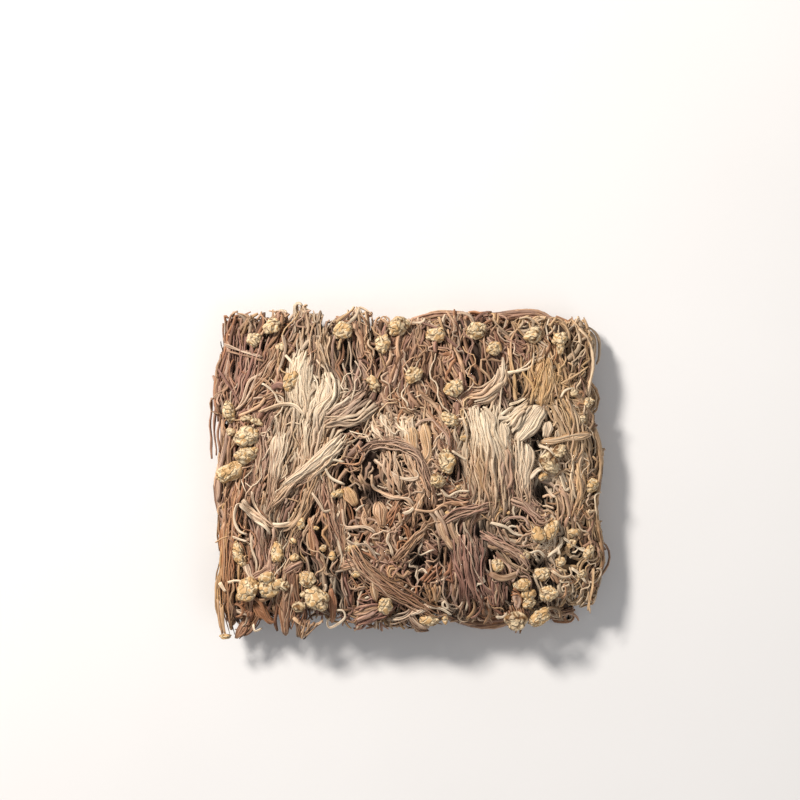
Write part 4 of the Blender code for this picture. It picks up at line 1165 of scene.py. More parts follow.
@dataclass(frozen=True)
class TopStems:
    """The stems on the upper side of an upper clump."""

    clump: ColumnClump
    flow: Flow  # Which way stems lie
    area: float  # The clump's area seen from above, in square millimetres

    def build(self, grower: StemGrower) -> None:
        """Adds the stems of every growth."""
        for growth in GROWTHS:
            self._grow(growth, grower)

    def _grow(self, growth: Growth, grower: StemGrower) -> None:
        """Traces the wisps' courses, spreads the stems over them and adds the skins.

        Args:
            growth: How the stems lie.
            grower: Draws the stems.
        """
        rng = grower.rng
        clump = self.clump
        reach = clump_length(clump)
        count = int(self.area * growth.density)
        lengths = np.minimum(rng.uniform(*growth.lengths, count), 0.95 * reach)
        t = np.clip(rng.uniform(0, 1.0, count) - 0.5 * lengths / reach, 0, 1) + rng.uniform(0, 0.04, count)
        spots = clump.place(t, rng.uniform(-1, 1, count), 0.0)[:, :2]
        middle = np.clip(t + 0.5 * lengths / reach, 0, 1)
        middle = clump.place(middle, rng.uniform(-1, 1, count), 0.0)
        tangle = np.clip(total(TANGLES, middle[:, 0], middle[:, 1]), 0, 1)
        kept = rng.uniform(0, 1, count) < growth.settled + (growth.tangled - growth.settled) * tangle
        lengths, spots, tangle = lengths[kept], spots[kept], tangle[kept]
        count = len(lengths)
        along = lengths[:, None] * np.linspace(0, 1, TRACED_STEPS)
        unrest = clump.unrest * growth.sway * rng.lognormal(0, 0.4, count) * (1 + tangle)
        short = 0.4 if growth.curly else 1.0
        sway = waves(rng, along, 24 * short, 60 * short) + 0.6 * waves(rng, along, 11 * short, 24 * short)
        most = MOST_TURN / lengths
        bend = np.clip(rng.normal(0, growth.bend, count), -most, most)
        sway = unrest[:, None] * sway + bend[:, None] * (along - lengths[:, None] / 2)
        outwards = math.copysign(math.pi / 2, clump.head - clump.root)
        ahead = outwards + math.pi * (rng.uniform(0, 1, count) < TURNED_ROUND)
        course = self.flow.trace(spots, lengths / (TRACED_STEPS - 1), ahead, sway)
        room = spare_room(course[..., 0], course[..., 1]) + rng.uniform(-3.0, 2.8, (count, 1))
        room[:, :5] = np.maximum(room[:, :5], 0)
        outside = np.maximum.accumulate(room < 0, axis=1)
        end = (~outside).sum(axis=1) / TRACED_STEPS
        course, end = course[end > LEAST_INSIDE], end[end > LEAST_INSIDE]
        paths, tones, along = self._spread(growth, grower, course, end)
        x, y = paths[..., 0], paths[..., 1]
        over = np.clip(-spare_room(x, y), 0, 8)
        drop = np.repeat(np.abs(rng.normal(0, growth.scatter, (len(end), 1))), growth.members, axis=0)
        z = pressed(x, y) + paths[..., 2] + growth.lift - drop + 0.5 * waves(rng, along, 12, 34)
        z = np.minimum(z, crest(x, y) + ROOM_OVER_CREST["stem"])
        # How far under the top each point lies, which the finish paints as shade
        depth = np.where(over > 0, 0.3, (PRESSED_SHARE * crest(x, y) + 1.3 - z) / CORE_DEPTH)
        paths = np.stack([x, y, z - 0.5 * over], axis=-1)
        half_width = rng.uniform(*growth.half_widths, len(paths))
        grower.add(paths, half_width, tones, depth, roundness=growth.flatness)

    def _spread(
        self, growth: Growth, grower: StemGrower, course: np.ndarray, end: np.ndarray
    ) -> tuple[np.ndarray, np.ndarray, np.ndarray]:
        """Spreads each wisp's stems side by side over its course.

        Args:
            growth: How the stems lie.
            grower: Draws the stems.
            course: The wisps' courses.
            end: How much of its course each wisp uses, from 0 to 1.

        Returns:
            The stems' points, their heights over the surface as the third value; five colour
            values a stem; and the millimetres along each stem.
        """
        rng = grower.rng
        members = growth.members
        count = len(course)
        shares = CURL_TONES if growth.curly else SLOT_TONES[self.clump.slot]
        tones = np.repeat(tones_of(rng, shares, count), members, axis=0)
        tones = np.maximum(tones + rng.normal(0, 1, tones.shape) * np.array((0.06, 0.1, 0.08, 0.12, 0.1)), 0)
        lane = np.tile(np.arange(members) - (members - 1) / 2, count)
        lane = lane + rng.normal(0, 0.25, len(lane)) * (members > 1)
        begin = rng.uniform(0, 0.18, len(lane)) * (members > 1)
        stop = np.repeat(end, members) * (1 - rng.uniform(0, 0.22, len(lane)) * (members > 1))
        course = np.repeat(course, members, axis=0)
        steps = 11 if growth.lengths[1] < 40 else 12
        middle = part_of(course, begin, stop, steps)
        gaps = np.gradient(middle, axis=1)
        along = np.cumsum(np.linalg.norm(gaps, axis=2), axis=1)
        ways = unit(gaps)
        ends = np.repeat(rng.uniform(0.35, 1.5, (2, count)), members, axis=1)
        fan = ends[0][:, None] + (ends[1] - ends[0])[:, None] * np.linspace(0, 1, steps)
        offset = 1.3 * lane[:, None] * fan + 0.36 * waves(rng, along, 9, 26) * (members > 1)
        height = np.broadcast_to(-0.12 * lane[:, None] ** 2, offset.shape)
        x = middle[..., 0] + offset * ways[..., 1]
        y = middle[..., 1] - offset * ways[..., 0]
        return np.stack([x, y, height], axis=-1), tones, along


@dataclass(frozen=True)
class SideStems:
    """Stems down one side or on the underside of a clump."""

    clump: Clump
    count: int  # How many stems
    u_range: tuple[float, float]  # Where across the clump they lie
    v_range: tuple[float, float]  # Where up through it they lie

    def build(self, grower: StemGrower) -> None:
        """Adds the stems: wandering courses along the clump, in its own u and v.

        Args:
            grower: Draws the stems.
        """
        rng = grower.rng
        clump = self.clump
        reach = clump_length(clump)
        lengths = np.minimum(rng.uniform(24, 60, self.count), 0.9 * reach)
        unrest = 0.8 * clump.unrest * rng.lognormal(0, 0.4, self.count)
        forward, aside, along = grower.wandering(lengths, unrest, rng.normal(0, 0.004, self.count))
        first = rng.uniform(-0.02, 1.04, self.count) - 0.5 * lengths / reach
        first = held_in(first, lengths, reach, rng.uniform(-6.0, 3.0, self.count))
        t = first[:, None] + forward / reach
        width, depth = half_sizes(clump, np.clip(t, 0, 1))
        u = rng.uniform(*self.u_range, (self.count, 1)) + 0.35 * aside / width
        v = rng.uniform(*self.v_range, (self.count, 1)) + 0.35 * aside / depth
        v = v + 0.3 * waves(rng, along, 15, 40) / depth
        taper = np.interp(t, TAPER_AT, TAPER_WIDTH)
        paths = clump.place(t, np.clip(u, -1.02, 1.02) * taper, np.clip(v, -0.97, 0.97))
        shade = np.broadcast_to(rng.uniform(0.0, 0.55, (self.count, 1)), t.shape)
        half_width = rng.uniform(0.6, 1.15, self.count)
        tones = tones_of(rng, SLOT_TONES[clump.slot], self.count)
        grower.add(paths, half_width, tones, shade, twist=0.9)


@dataclass(frozen=True)
class HeadStems:
    """Thin stem ends that stand out of a clump's head."""

    clump: Clump
    count: int  # How many stems
    at_root: bool = False  # Whether they stand out of its root instead

    def build(self, grower: StemGrower) -> None:
        """Adds the stems: from inside the head outwards, drooping and curling past it.

        Args:
            grower: Draws the stems.
        """
        rng = grower.rng
        clump = self.clump
        reach = clump_length(clump)
        lengths = rng.uniform(9, 20, self.count)
        bend = rng.normal(0, 0.12, self.count)
        forward, aside, _ = grower.wandering(lengths, rng.uniform(0.3, 1.0, self.count), bend)
        over = rng.uniform(-3.0, 4.5, (self.count, 1))
        t = 1 + (over + forward - forward.max(axis=1, keepdims=True)) / reach
        width, depth = half_sizes(clump, np.clip(t, 0, 1))
        u = rng.uniform(-0.95, 0.95, (self.count, 1)) + aside / width
        v = rng.uniform(-0.95, 0.7, (self.count, 1)) + 0.4 * aside / depth
        place = 1 - t if self.at_root else t
        paths = clump.place(place, np.clip(u, -1.05, 1.05), np.clip(v, -0.98, 0.8))
        past = np.clip((t - 1) * reach, 0, 10)
        paths[..., 2] -= 0.3 * past * rng.uniform(0, 2, (self.count, 1)) ** 2
        shade = np.clip(0.35 - past / 12, 0, 1)
        half_width = rng.uniform(0.5, 0.95, self.count)
        tones = tones_of(rng, CURL_TONES, self.count)
        grower.add(paths, half_width, tones, shade, twist=0.9)


class PlacedStems:
    """Builds the bundles, pads and loose stems that are listed one by one."""

    SHEAF_STEPS = 17
    LOOSE_STEPS = 26
    PAD_STEPS = 24
    PAD_SIDES = 30

    def __init__(self, grower: StemGrower) -> None:
        """Keeps what draws the stems."""
        self.grower = grower

    def build(self, clump: ColumnClump) -> None:
        """Adds all that lies on a clump."""
        for things, add in ((SHEAVES, self.add_sheaf), (PADS, self.add_pad), (LOOSE_STEMS, self.add_loose)):
            for thing in things:
                if thing.owner() is clump:
                    add(thing)

    def add_sheaf(self, sheaf: Sheaf) -> None:
        """Adds a bundle: stems at even places across an arched section along its course.

        Args:
            sheaf: The bundle.
        """
        rng = self.grower.rng
        steps = self.SHEAF_STEPS
        grid = np.linspace(0, 1, 48)
        middle = smooth_course(sheaf.course, len(grid))
        forward = unit(np.gradient(middle, axis=0))
        reach = float(np.linalg.norm(np.diff(middle, axis=0), axis=1).sum())
        count = 2 * sheaf.count
        begin = 0.28 * rng.uniform(0, 1, (count, 1)) ** 1.6
        stop = 1.0 - 0.30 * rng.uniform(0, 1, (count, 1)) ** 1.4
        part = begin + (stop - begin) * np.linspace(0, 1, steps)
        along = part * reach
        lane = np.linspace(-1, 1, count)[:, None] + rng.normal(0, 0.16, (count, 1))
        crossing = rng.normal(0, 0.34, (count, 1))
        crossing = crossing + rng.choice((-0.9, 0.0, 0.9), (count, 1), p=(0.09, 0.82, 0.09))
        pull = np.sin(TURN * (along / 26.0 + 0.35 * lane + rng.uniform(0, 1)))
        places = lane + crossing * (part - 0.5) + 0.07 * pull * (0.5 + sheaf.unrest)
        spread = 1 + 0.13 * np.sin(TURN * (along / 33.0 + rng.uniform(0, 1)))
        half = np.interp(part, (0, 1), sheaf.width) / 2 * spread
        stray = (0.2 + sheaf.unrest) * (0.75 * waves(rng, along, 16, 45) + 0.50 * waves(rng, along, 7, 13))
        offset = places * half + stray
        course = [np.interp(part, grid, middle[:, axis]) for axis in range(2)]
        way = [np.interp(part, grid, forward[:, axis]) for axis in range(2)]
        x = course[0] + offset * way[1]
        y = course[1] - offset * way[0]
        arch = np.minimum(1.5, 0.22 * half) * (1 - np.clip(places, -1, 1) ** 2)
        felted = sheaf.tone.value[1] * (1 - 0.6 * part)
        layer = rng.uniform(-1.3, 0.6, (count, 1)) * (1 - 0.6 * felted)
        bury = np.interp(np.linspace(0, 1, steps), (0, 0.08, 0.86, 1), (0.7, 0.0, 0.0, 1.6))
        z = pressed(x, y) + sheaf.lift + arch + layer - bury + 0.4 * waves(rng, along, 9, 26)
        z = np.minimum(z, crest(x, y) + ROOM_OVER_CREST["sheaf"])
        # Painted shade for stems that lie low, at the sheaf's sides, or buried at its ends
        depth = (0.12 - 0.34 * layer + 0.22 * np.abs(places) ** 2) * (1 - 0.5 * felted) + 0.12 * bury
        paths = np.stack([x, y, z], axis=-1)
        spacing = (sheaf.width[0] + sheaf.width[1]) / 2 / max(1, sheaf.count - 1)
        half_width = np.clip(rng.lognormal(0, 0.30, count) * 0.5 * spacing, 0.32, 1.2)
        half_width = half_width * (1 + 0.4 * sheaf.tone.value[1])
        jitter = rng.normal(0, 1, (count, 5)) * np.array((0.07, 0.16, 0.12, 0.22, 0.12))
        tones = np.maximum(np.array(sheaf.tone.value) * rng.uniform(0.75, 1.15, (count, 1)) + jitter, 0)
        self.grower.add(paths, half_width, tones, depth, 0.6, 0.9, (0.4, 0.8), fading=0.9, sides=5, pinch=0.3)

    def add_loose(self, loose: LooseStem) -> None:
        """Adds a loose stem: a ribbon that rests on the others along its course.

        Args:
            loose: The stem.
        """
        rng = self.grower.rng
        steps = self.LOOSE_STEPS
        course = smooth_course(loose.course, steps)
        x, y = course[None, :, 0], course[None, :, 1]
        ends = 1.6 * np.interp(np.linspace(0, 1, steps), (0, 0.1, 0.9, 1), (1, 0, 0, 1))
        z = pressed(x, y) + 1.9 - ends * rng.uniform(0.4, 1.0)
        z = np.minimum(z, crest(x, y) + ROOM_OVER_CREST["loose stem"])
        paths = np.stack([x, y, z], axis=-1)
        tones = np.array([loose.tone.value])
        depth = np.zeros((1, steps))
        width = np.array([loose.half_width * (0.62 if loose.half_width < 1.5 else 1.0)])
        self.grower.add(paths, width, tones, depth, twist=0.4, sides=8, pinch=0.5)

    def add_pad(self, pad: Pad) -> None:
        """Adds a pad: a flat oval section with lengthwise ridges, carried along its course.

        Args:
            pad: The pad.
        """
        rng = self.grower.rng
        steps, sides = self.PAD_STEPS, self.PAD_SIDES
        x, y = smooth_course(pad.course, steps).T
        way = unit(np.stack([np.gradient(x), np.gradient(y), np.zeros(steps)], axis=-1))[:, None]
        part = np.linspace(0, 1, steps)[:, None]
        swell = np.interp(part, (0, 0.05, 0.15, 0.4, 0.8, 0.93, 1), (0.25, 0.6, 0.88, 1, 0.72, 0.5, 0.2))
        half = pad.half_width * swell * (1 + 0.12 * np.sin(TURN * (1.7 * part + rng.uniform(0, 1))))
        angle = TURN * np.arange(sides) / sides
        phase = rng.uniform(0, TURN, 4)
        ridge = np.sin(7 * angle + 2.2 * np.sin(5 * part + phase[0]) + phase[1])
        ridge = 0.6 * ridge + 0.4 * np.sin(13 * angle + 1.8 * np.sin(8 * part + phase[2]) + phase[3])
        round_by = 1 + 0.15 * ridge
        z = np.minimum(pressed(x, y) + pad.lift, crest(x, y) + ROOM_OVER_CREST["pad"])[:, None]
        z = z - np.interp(part, (0, 0.1, 0.9, 1), (0.8, 0, 0, 1.0))
        self._add_fibres(pad, np.stack([x, y, z[:, 0]], axis=-1), way[:, 0], half[:, 0])
        z = z + (0.26 * half + 0.2) * np.sin(angle) * round_by
        reach = half * np.cos(angle) * round_by
        rings = np.stack([x[:, None] + reach * way[..., 1], y[:, None] - reach * way[..., 0], z], axis=-1)
        light, pale, gold, mauve, russet = pad.tone.value
        ones = np.ones_like(reach)
        # Painted shade at the pad's tucked ends and along its sides
        edge = 0.25 * np.interp(part, (0, 0.1, 0.9, 1), (1, 0, 0, 1)) + 0.18 * np.cos(angle) ** 4
        tint = np.stack([light * ones, pale * (1 - 0.45 * part) * ones, gold * ones, mauve * ones], axis=-1)
        own = rng.uniform(0, 1) * ones
        # The ridges go in as rims: painted highlight on them and painted shade between them
        form = np.stack([np.clip(0.5 + 0.45 * ridge, 0, 1) * ones, russet * ones, edge * ones, own], axis=-1)
        self.grower.stack.add(facing_out(rings[None]), tint, form)

    def _add_fibres(self, pad: Pad, middle: np.ndarray, way: np.ndarray, half: np.ndarray) -> None:
        """Adds the stems that are half fused into a pad's upper side.

        Args:
            pad: The pad.
            middle: Points along its middle.
            way: Which way its course goes at each.
            half: Half its width at each.
        """
        rng = self.grower.rng
        count = 3 + int(2.6 * pad.half_width)
        reach = float(np.linalg.norm(np.diff(middle, axis=0), axis=1).sum())
        along = np.broadcast_to(np.linspace(0, reach, len(middle)), (count, len(middle)))
        lane = np.linspace(-0.95, 0.95, count)[:, None] + rng.normal(0, 0.07, (count, 1))
        offset = lane * half + 0.28 * waves(rng, along, 8, 24)
        rise = np.sqrt(np.clip(1 - lane**2, 0, 1)) * (0.26 * half + 0.2) + rng.uniform(-0.25, 0.2, (count, 1))
        paths = middle + np.stack([offset * way[:, 1], -offset * way[:, 0], rise], axis=-1)
        jitter = rng.normal(0, 1, (count, 5)) * np.array((0.08, 0.12, 0.10, 0.15, 0.08))
        tones = np.maximum(np.array(pad.tone.value) + jitter, 0)
        paths = paths[:, ::2]
        # Painted shade towards the pad's sides
        depth = np.broadcast_to(0.10 * np.abs(lane), paths.shape[:2])
        self.grower.add(paths, rng.uniform(0.3, 0.62, count), tones, depth, twist=0.4, root_width=0.9)


@dataclass(frozen=True)
class CapShape:
    """A shrivelled cap: a low dome with lobes and wrinkles like a walnut's."""

    centre: tuple[float, float, float]  # Its middle in millimetres
    diameter: float  # Its width
    facing: tuple[float, float, float]  # Where its top points
    rings: int  # Rings from its underside to its top, with twice as many points in each
    oblong: float  # The root of its length over its width
    turn: float  # Direction of its length in degrees
    tint: tuple[float, float]  # How pale and how golden it is, from 0 to 1

    def build(self, stack: MeshStack, rng: np.random.Generator) -> None:
        """Adds the cap's skin.

        The radius of a flattened ball grows by lobes round it and by ridges that wind over
        it. A ridge is one less the size of a sine, squared, of the place on the ball after
        slow sines have bent that place. The underside is drawn in towards the stem.

        Args:
            stack: Where the skin goes.
            rng: Random draws.
        """
        down = np.linspace(math.pi * 0.985, 0.015 * math.pi, self.rings)[:, None]
        around = 2 * self.rings
        turn = TURN * np.arange(around)[None] / around
        sides = (np.sin(down) * np.cos(turn), np.sin(down) * np.sin(turn), np.cos(down))
        ball = np.stack(np.broadcast_arrays(*sides), axis=-1)
        relief = np.zeros(ball.shape[:2])
        bent = ball + 0.35 * np.sin(3.1 * ball[..., [1, 2, 0]] + rng.uniform(0, TURN, 3))
        for strength, pitch in ((0.18, 2.0), (0.13, 3.2), (0.06, 5.0)):
            for _ in range(2):
                way = unit(rng.normal(0, 1, 3))
                crease = (1 - np.abs(np.sin(pitch * bent @ way + rng.uniform(0, TURN)))) ** 2.6
                relief -= strength * (crease - 0.3)
        lobes = sum(0.05 * np.sin(order * turn + rng.uniform(0, TURN)) for order in (2, 3, 5))
        radius = 1 + relief + lobes * np.sin(down)
        size = self.diameter / 2 * np.array((self.oblong, 1 / self.oblong, CAP_THICKNESS))
        under = np.where(ball[..., 2:] < 0, np.array((1.0, 1.0, 0.55)), 1.0)
        under = under * (1 - 0.35 * np.clip(-ball[..., 2:], 0, 1) ** 2 * np.array((1, 1, 0)))
        points = ball * radius[..., None] * size * under
        cosine, sine = math.cos(math.radians(self.turn)), math.sin(math.radians(self.turn))
        points = points @ np.array(((cosine, sine, 0), (-sine, cosine, 0), (0, 0, 1)))
        turned = np.array(Vector((0, 0, 1)).rotation_difference(Vector(self.facing)).to_matrix())
        points = points @ turned.T + self.centre
        colour = np.zeros((1, self.rings, around, 4))
        colour[..., 0] = self.tint[0]
        # How high the relief stands, from which the finish paints shade into the wrinkles
        colour[..., 1] = np.clip(0.6 + relief * 2.2, 0, 1)
        colour[..., 2] = self.tint[1]
        # How far under the cap a point lies, which the finish paints as shade
        colour[..., 3] = np.clip(-ball[..., 2], 0, 1)
        form = np.zeros_like(colour)
        form[..., 3] = rng.uniform(0, 1)
        stack.add(facing_out(points[None]), colour, form)


class Signal:
    """A shader value that Python's operators join into Math nodes."""

    def __init__(self, graph: Graph, socket: bpy.types.NodeSocket) -> None:
        """Wraps an output socket of a graph."""
        self.graph = graph
        self.socket = socket

    def _maths(self, operation: str, first: object, second: object) -> Signal:
        """A Math node on two values."""
        return self.graph.add("ShaderNodeMath", {"operation": operation}, {0: first, 1: second})

    def __add__(self, other: object) -> Signal:
        """The sum."""
        return self._maths("ADD", self, other)

    def __radd__(self, other: object) -> Signal:
        """The sum, with the value on the right."""
        return self._maths("ADD", other, self)

    def __sub__(self, other: object) -> Signal:
        """The difference."""
        return self._maths("SUBTRACT", self, other)

    def __rsub__(self, other: object) -> Signal:
        """The difference, with the value on the right."""
        return self._maths("SUBTRACT", other, self)

    def __mul__(self, other: object) -> Signal:
        """The product."""
        return self._maths("MULTIPLY", self, other)

    def __rmul__(self, other: object) -> Signal:
        """The product, with the value on the right."""
        return self._maths("MULTIPLY", other, self)


class Graph:
    """The node tree of one material."""

    def __init__(self, name: str) -> None:
        """Starts an empty material of that name."""
        self.material = bpy.data.materials.new(name)
        self.material.use_nodes = True
        self.tree = self.material.node_tree
        self.tree.nodes.clear()

    def add(
        self, kind: str, settings: dict[str, object], sockets: dict[object, object], output: object = 0
    ) -> Signal:
        """Adds a node: its settings first, then its sockets' values and links.

        Args:
            kind: The node's type.
            settings: Its properties, and "stops" for a ramp: places with colours.
            sockets: Values or links of its inputs, by name or number.
            output: The output that is wanted.

        Returns:
            The output as a signal.
        """
        node = self.tree.nodes.new(kind)
        for label, value in settings.items():
            if label == "stops":
                self._set_stops(node.color_ramp, value)
            else:
                setattr(node, label, value)
        for label, value in sockets.items():
            socket = node.inputs[label]
            if isinstance(value, Signal):
                self.tree.links.new(value.socket, socket)
            elif isinstance(value, tuple) and len(value) == 3 and socket.type == "RGBA":
                socket.default_value = (*value, 1.0)
            else:
                socket.default_value = value
        return Signal(self, node.outputs[output] if len(node.outputs) else None)

    @staticmethod
    def _set_stops(ramp: bpy.types.ColorRamp, stops: Sequence[tuple[float, Colour]]) -> None:
        """Gives a ramp its stops.

        Args:
            ramp: The ramp.
            stops: Places with colours, two or more.
        """
        for place, colour in stops[2:]:
            ramp.elements.new(place)
        for element, (place, colour) in zip(ramp.elements, stops, strict=True):
            element.position = place
            element.color = (*colour, 1.0)

    def attribute(self, label: str) -> tuple[Signal, Signal, Signal, Signal]:
        """The four values of a point attribute."""
        colour = self.add("ShaderNodeAttribute", {"attribute_name": label}, {}, "Color")
        last = Signal(self, colour.socket.node.outputs["Alpha"])
        parts = self.add("ShaderNodeSeparateColor", {}, {0: colour}).socket.node.outputs
        return (*(Signal(self, parts[index]) for index in range(3)), last)

    def noise(self, place: Signal, scale: float, detail: float, rough: float = 0.55) -> Signal:
        """Noise at a place, about 0 to 1."""
        sockets = {"Vector": place, "Scale": scale, "Detail": detail, "Roughness": rough}
        return self.add("ShaderNodeTexNoise", {}, sockets)

    def place(self, x: Signal, y: Signal, z: Signal) -> Signal:
        """A place from its three coordinates."""
        return self.add("ShaderNodeCombineXYZ", {}, {0: x, 1: y, 2: z})

    def absolute(self, value: Signal) -> Signal:
        """A value without its sign."""
        return self.add("ShaderNodeMath", {"operation": "ABSOLUTE"}, {0: value})

    def mix(self, base: object, other: object, share: object) -> Signal:
        """A colour mixed into another by a share."""
        settings = {"data_type": "RGBA", "clamp_factor": True}
        return self.add("ShaderNodeMix", settings, {0: share, 6: base, 7: other}, 2)

    def ramp(self, value: Signal, *stops: tuple[float, Colour]) -> Signal:
        """A colour looked up on a ramp."""
        return self.add("ShaderNodeValToRGB", {"stops": stops}, {0: value})

    def spread(self, value: Signal, low: float, high: float) -> Signal:
        """A value stretched so that low becomes 0 and high becomes 1, and held there."""
        return self.add("ShaderNodeMapRange", {}, {0: value, 1: low, 2: high})

    def bump(self, height: Signal, strength: float, distance: float, below: Signal | None = None) -> Signal:
        """A Bump node."""
        sockets = {"Strength": strength, "Distance": distance, "Height": height}
        if below is not None:
            sockets["Normal"] = below
        return self.add("ShaderNodeBump", {}, sockets)

    def surface(
        self, colour: Signal, roughness: Signal, normal: Signal, **fixed: float
    ) -> bpy.types.Material:
        """The material's shader.

        Args:
            colour: Its base colour.
            roughness: Its roughness.
            normal: Its normal.
            fixed: Numbers for the shader's other sockets, underscores for spaces.

        Returns:
            The material.
        """
        sockets = {"Base Color": colour, "Roughness": roughness, "Normal": normal}
        sockets |= {label.replace("_", " "): value for label, value in fixed.items()}
        shader = self.add("ShaderNodeBsdfPrincipled", {}, sockets)
        self.add("ShaderNodeOutputMaterial", {}, {"Surface": shader})
        return self.material


@dataclass(frozen=True)
class StemFinish:
    """Dried stems: fibrous ribbons whose pale rims are partly their own colour and partly a painted
    highlight, with painted shade in the furrows and in the gaps.
    """

    name: str  # The material's name
    dark_and_furrow_shade: Colour = (0.105, 0.047, 0.025)  # Colour of the darkest stems, also the painted shade in the furrows
    body: Colour = (0.44, 0.228, 0.136)  # Colour of most stems
    light: Colour = (0.85, 0.54, 0.34)  # Colour of the lightest stems
    pale: Colour = (0.95, 0.82, 0.61)  # Colour of the lightest stems, also the painted highlight on the rims
    gold: Colour = (0.74, 0.45, 0.17)  # Colour of golden stems
    mauve: Colour = (0.44, 0.225, 0.18)  # Colour of mauve stems
    russet: Colour = (0.47, 0.18, 0.075)  # Colour of reddish stems
    painted_gap_shade: Colour = (0.020, 0.010, 0.006)  # Painted shade deep in the gaps between stems

    def build(self) -> bpy.types.Material:
        """Makes the material: a ramp by each stem's lightness, tints by zone, fibres by UV.

        Returns:
            The material.
        """
        graph = Graph(self.name)
        light, pale, gold, mauve = graph.attribute("tint")
        rim, russet, depth, own = graph.attribute("form")
        uv = graph.add("ShaderNodeUVMap", {"uv_map": "UVMap"}, {})
        around = graph.add("ShaderNodeSeparateXYZ", {}, {0: uv})
        along = Signal(graph, around.socket.node.outputs[1])
        own_place = own * 37.0
        patterns = ((9.0, 1.3, 5.0, 0.62), (2.0, 1.9, 3.0, 0.55), (26.0, 4.0, 3.0, 0.6))
        fibres, patches, threads = (
            graph.noise(graph.place(around * across, along * ahead, own_place), 1.0, detail, rough)
            for across, ahead, detail, rough in patterns
        )
        streak = graph.spread(fibres, 0.32, 0.68)
        value = light + (streak - 0.5) * 0.42 + (graph.spread(patches, 0.3, 0.7) - 0.5) * 0.28
        # Rims lighter and faces darker: painted highlight and painted shade across each ribbon
        value = value + (rim - 0.6) * 0.26 + (threads - 0.5) * 0.2
        colour = graph.ramp(value, (0.0, self.dark_and_furrow_shade), (0.9, self.light), (0.42, self.body))
        colour = graph.mix(colour, self.gold, gold * (0.35 + patches * 0.7))
        colour = graph.mix(colour, self.mauve, mauve * (0.2 + fibres * 0.9))
        colour = graph.mix(colour, self.russet, russet * (0.25 + patches * 0.7))
        washed = (pale * 1.15 - 0.1) * (0.45 + streak * 0.55 + (rim - 0.5) * 0.25)
        colour = graph.mix(colour, self.pale, washed)
        # Painted highlight on the ribbons' rims, partly their own paler dry edges
        lit_rim = graph.spread(rim * (0.6 + streak * 0.6), 0.55, 1.1)
        colour = graph.mix(colour, self.light, lit_rim * (0.12 + light * 0.62))
        # Painted shade in the furrows along each ribbon's faces, away from its rims
        painted_furrow_shade = (1.0 - rim) * graph.spread(fibres, 0.62, 0.40)
        colour = graph.mix(colour, self.dark_and_furrow_shade, painted_furrow_shade * 0.7)
        # Painted shade: points that lie deep, and the cores, turn to the gap colour
        colour = graph.mix(colour, self.painted_gap_shade, graph.spread(depth, 0.10, 0.95) * 0.95)
        roughness = 0.52 + (1.0 - streak) * 0.2 + depth * 0.2
        normal = graph.bump(fibres, 0.5, 0.00025)
        normal = graph.bump(threads, 0.3, 0.0001, normal)
        return graph.surface(colour, roughness, normal, Specular_IOR_Level=0.38)


@dataclass(frozen=True)
class CapFinish:
    """Dried caps: cream ridges, tan wrinkles, ochre blotches, and painted shade in the wrinkles and under the
    cap.
    """

    name: str  # The material's name
    crease: Colour = (0.16, 0.072, 0.026)  # Colour deep in the wrinkles: painted shade there and on the underside
    body: Colour = (0.56, 0.35, 0.16)  # Colour of the flanks
    ridge: Colour = (0.86, 0.69, 0.44)  # Colour of the ridges
    ochre: Colour = (0.66, 0.38, 0.10)  # Colour of the blotches

    def build(self) -> bpy.types.Material:
        """Makes the material: a ramp by the relief that paints shade into the wrinkles, and blotches from
        noise in the object.

        Returns:
            The material.
        """
        graph = Graph(self.name)
        light, relief, spot, under = graph.attribute("tint")
        place = graph.add("ShaderNodeTexCoord", {}, {}, "Object")
        grain = graph.noise(place, 1500.0, 4.0, 0.6)
        blotch = graph.noise(place, 420.0, 3.0)
        swell = graph.noise(place, 300.0, 1.5, 0.4)
        folds = 1.0 - graph.spread(graph.absolute(swell - 0.5), 0.0, 0.09)
        # Painted shade in the wrinkles and in the noise folds
        value = 0.56 - folds * 0.34 + (relief - 0.6) * 1.4 + (grain - 0.5) * 0.4 + (light - 0.6) * 0.7
        colour = graph.ramp(value, (0.1, self.crease), (0.9, self.ridge), (0.5, self.body))
        ochre = graph.spread(blotch, 0.45, 0.65) * (0.05 + spot * 0.5)
        colour = graph.mix(colour, self.ochre, ochre)
        # Painted shade on the cap's underside
        colour = graph.mix(colour, self.crease, under * 0.75)
        roughness = 0.5 + (1.0 - relief) * 0.25
        normal = graph.bump(1.0 - folds, 0.9, 0.0008)
        normal = graph.bump(grain, 0.5, 0.0003, normal)
        return graph.surface(colour, roughness, normal, Specular_IOR_Level=0.4)


@dataclass(frozen=True)
class FloorFinish:
    """A plain pale floor."""

    name: str = "pale_floor"  # The material's name
    colour: Colour = (0.80, 0.795, 0.785)  # Its colour
    mottle: Colour = (0.74, 0.735, 0.725)  # Colour of its faint spots

    def build(self) -> bpy.types.Material:
        """Makes the material: one pale colour with faint mottling.

        Returns:
            The material.
        """
        graph = Graph(self.name)
        place = graph.add("ShaderNodeTexCoord", {}, {}, "Object")
        spots = graph.noise(place, 6.0, 3.0)
        colour = graph.mix(self.colour, self.mottle, graph.spread(spots, 0.4, 0.7) * 0.3)
        normal = graph.bump(graph.noise(place, 300.0, 2.0), 0.05, 0.0005)
        return graph.surface(colour, spots * 0.1 + 0.7, normal)


STEM_FINISHES = {
    "mauve_brown": StemFinish("mauve_brown_stems"),
    "pale_straw": StemFinish("pale_straw_stems", body=(0.48, 0.28, 0.172), light=(0.86, 0.62, 0.405)),
    "golden_tan": StemFinish("golden_tan_stems", body=(0.48, 0.275, 0.145), light=(0.87, 0.60, 0.345)),
}


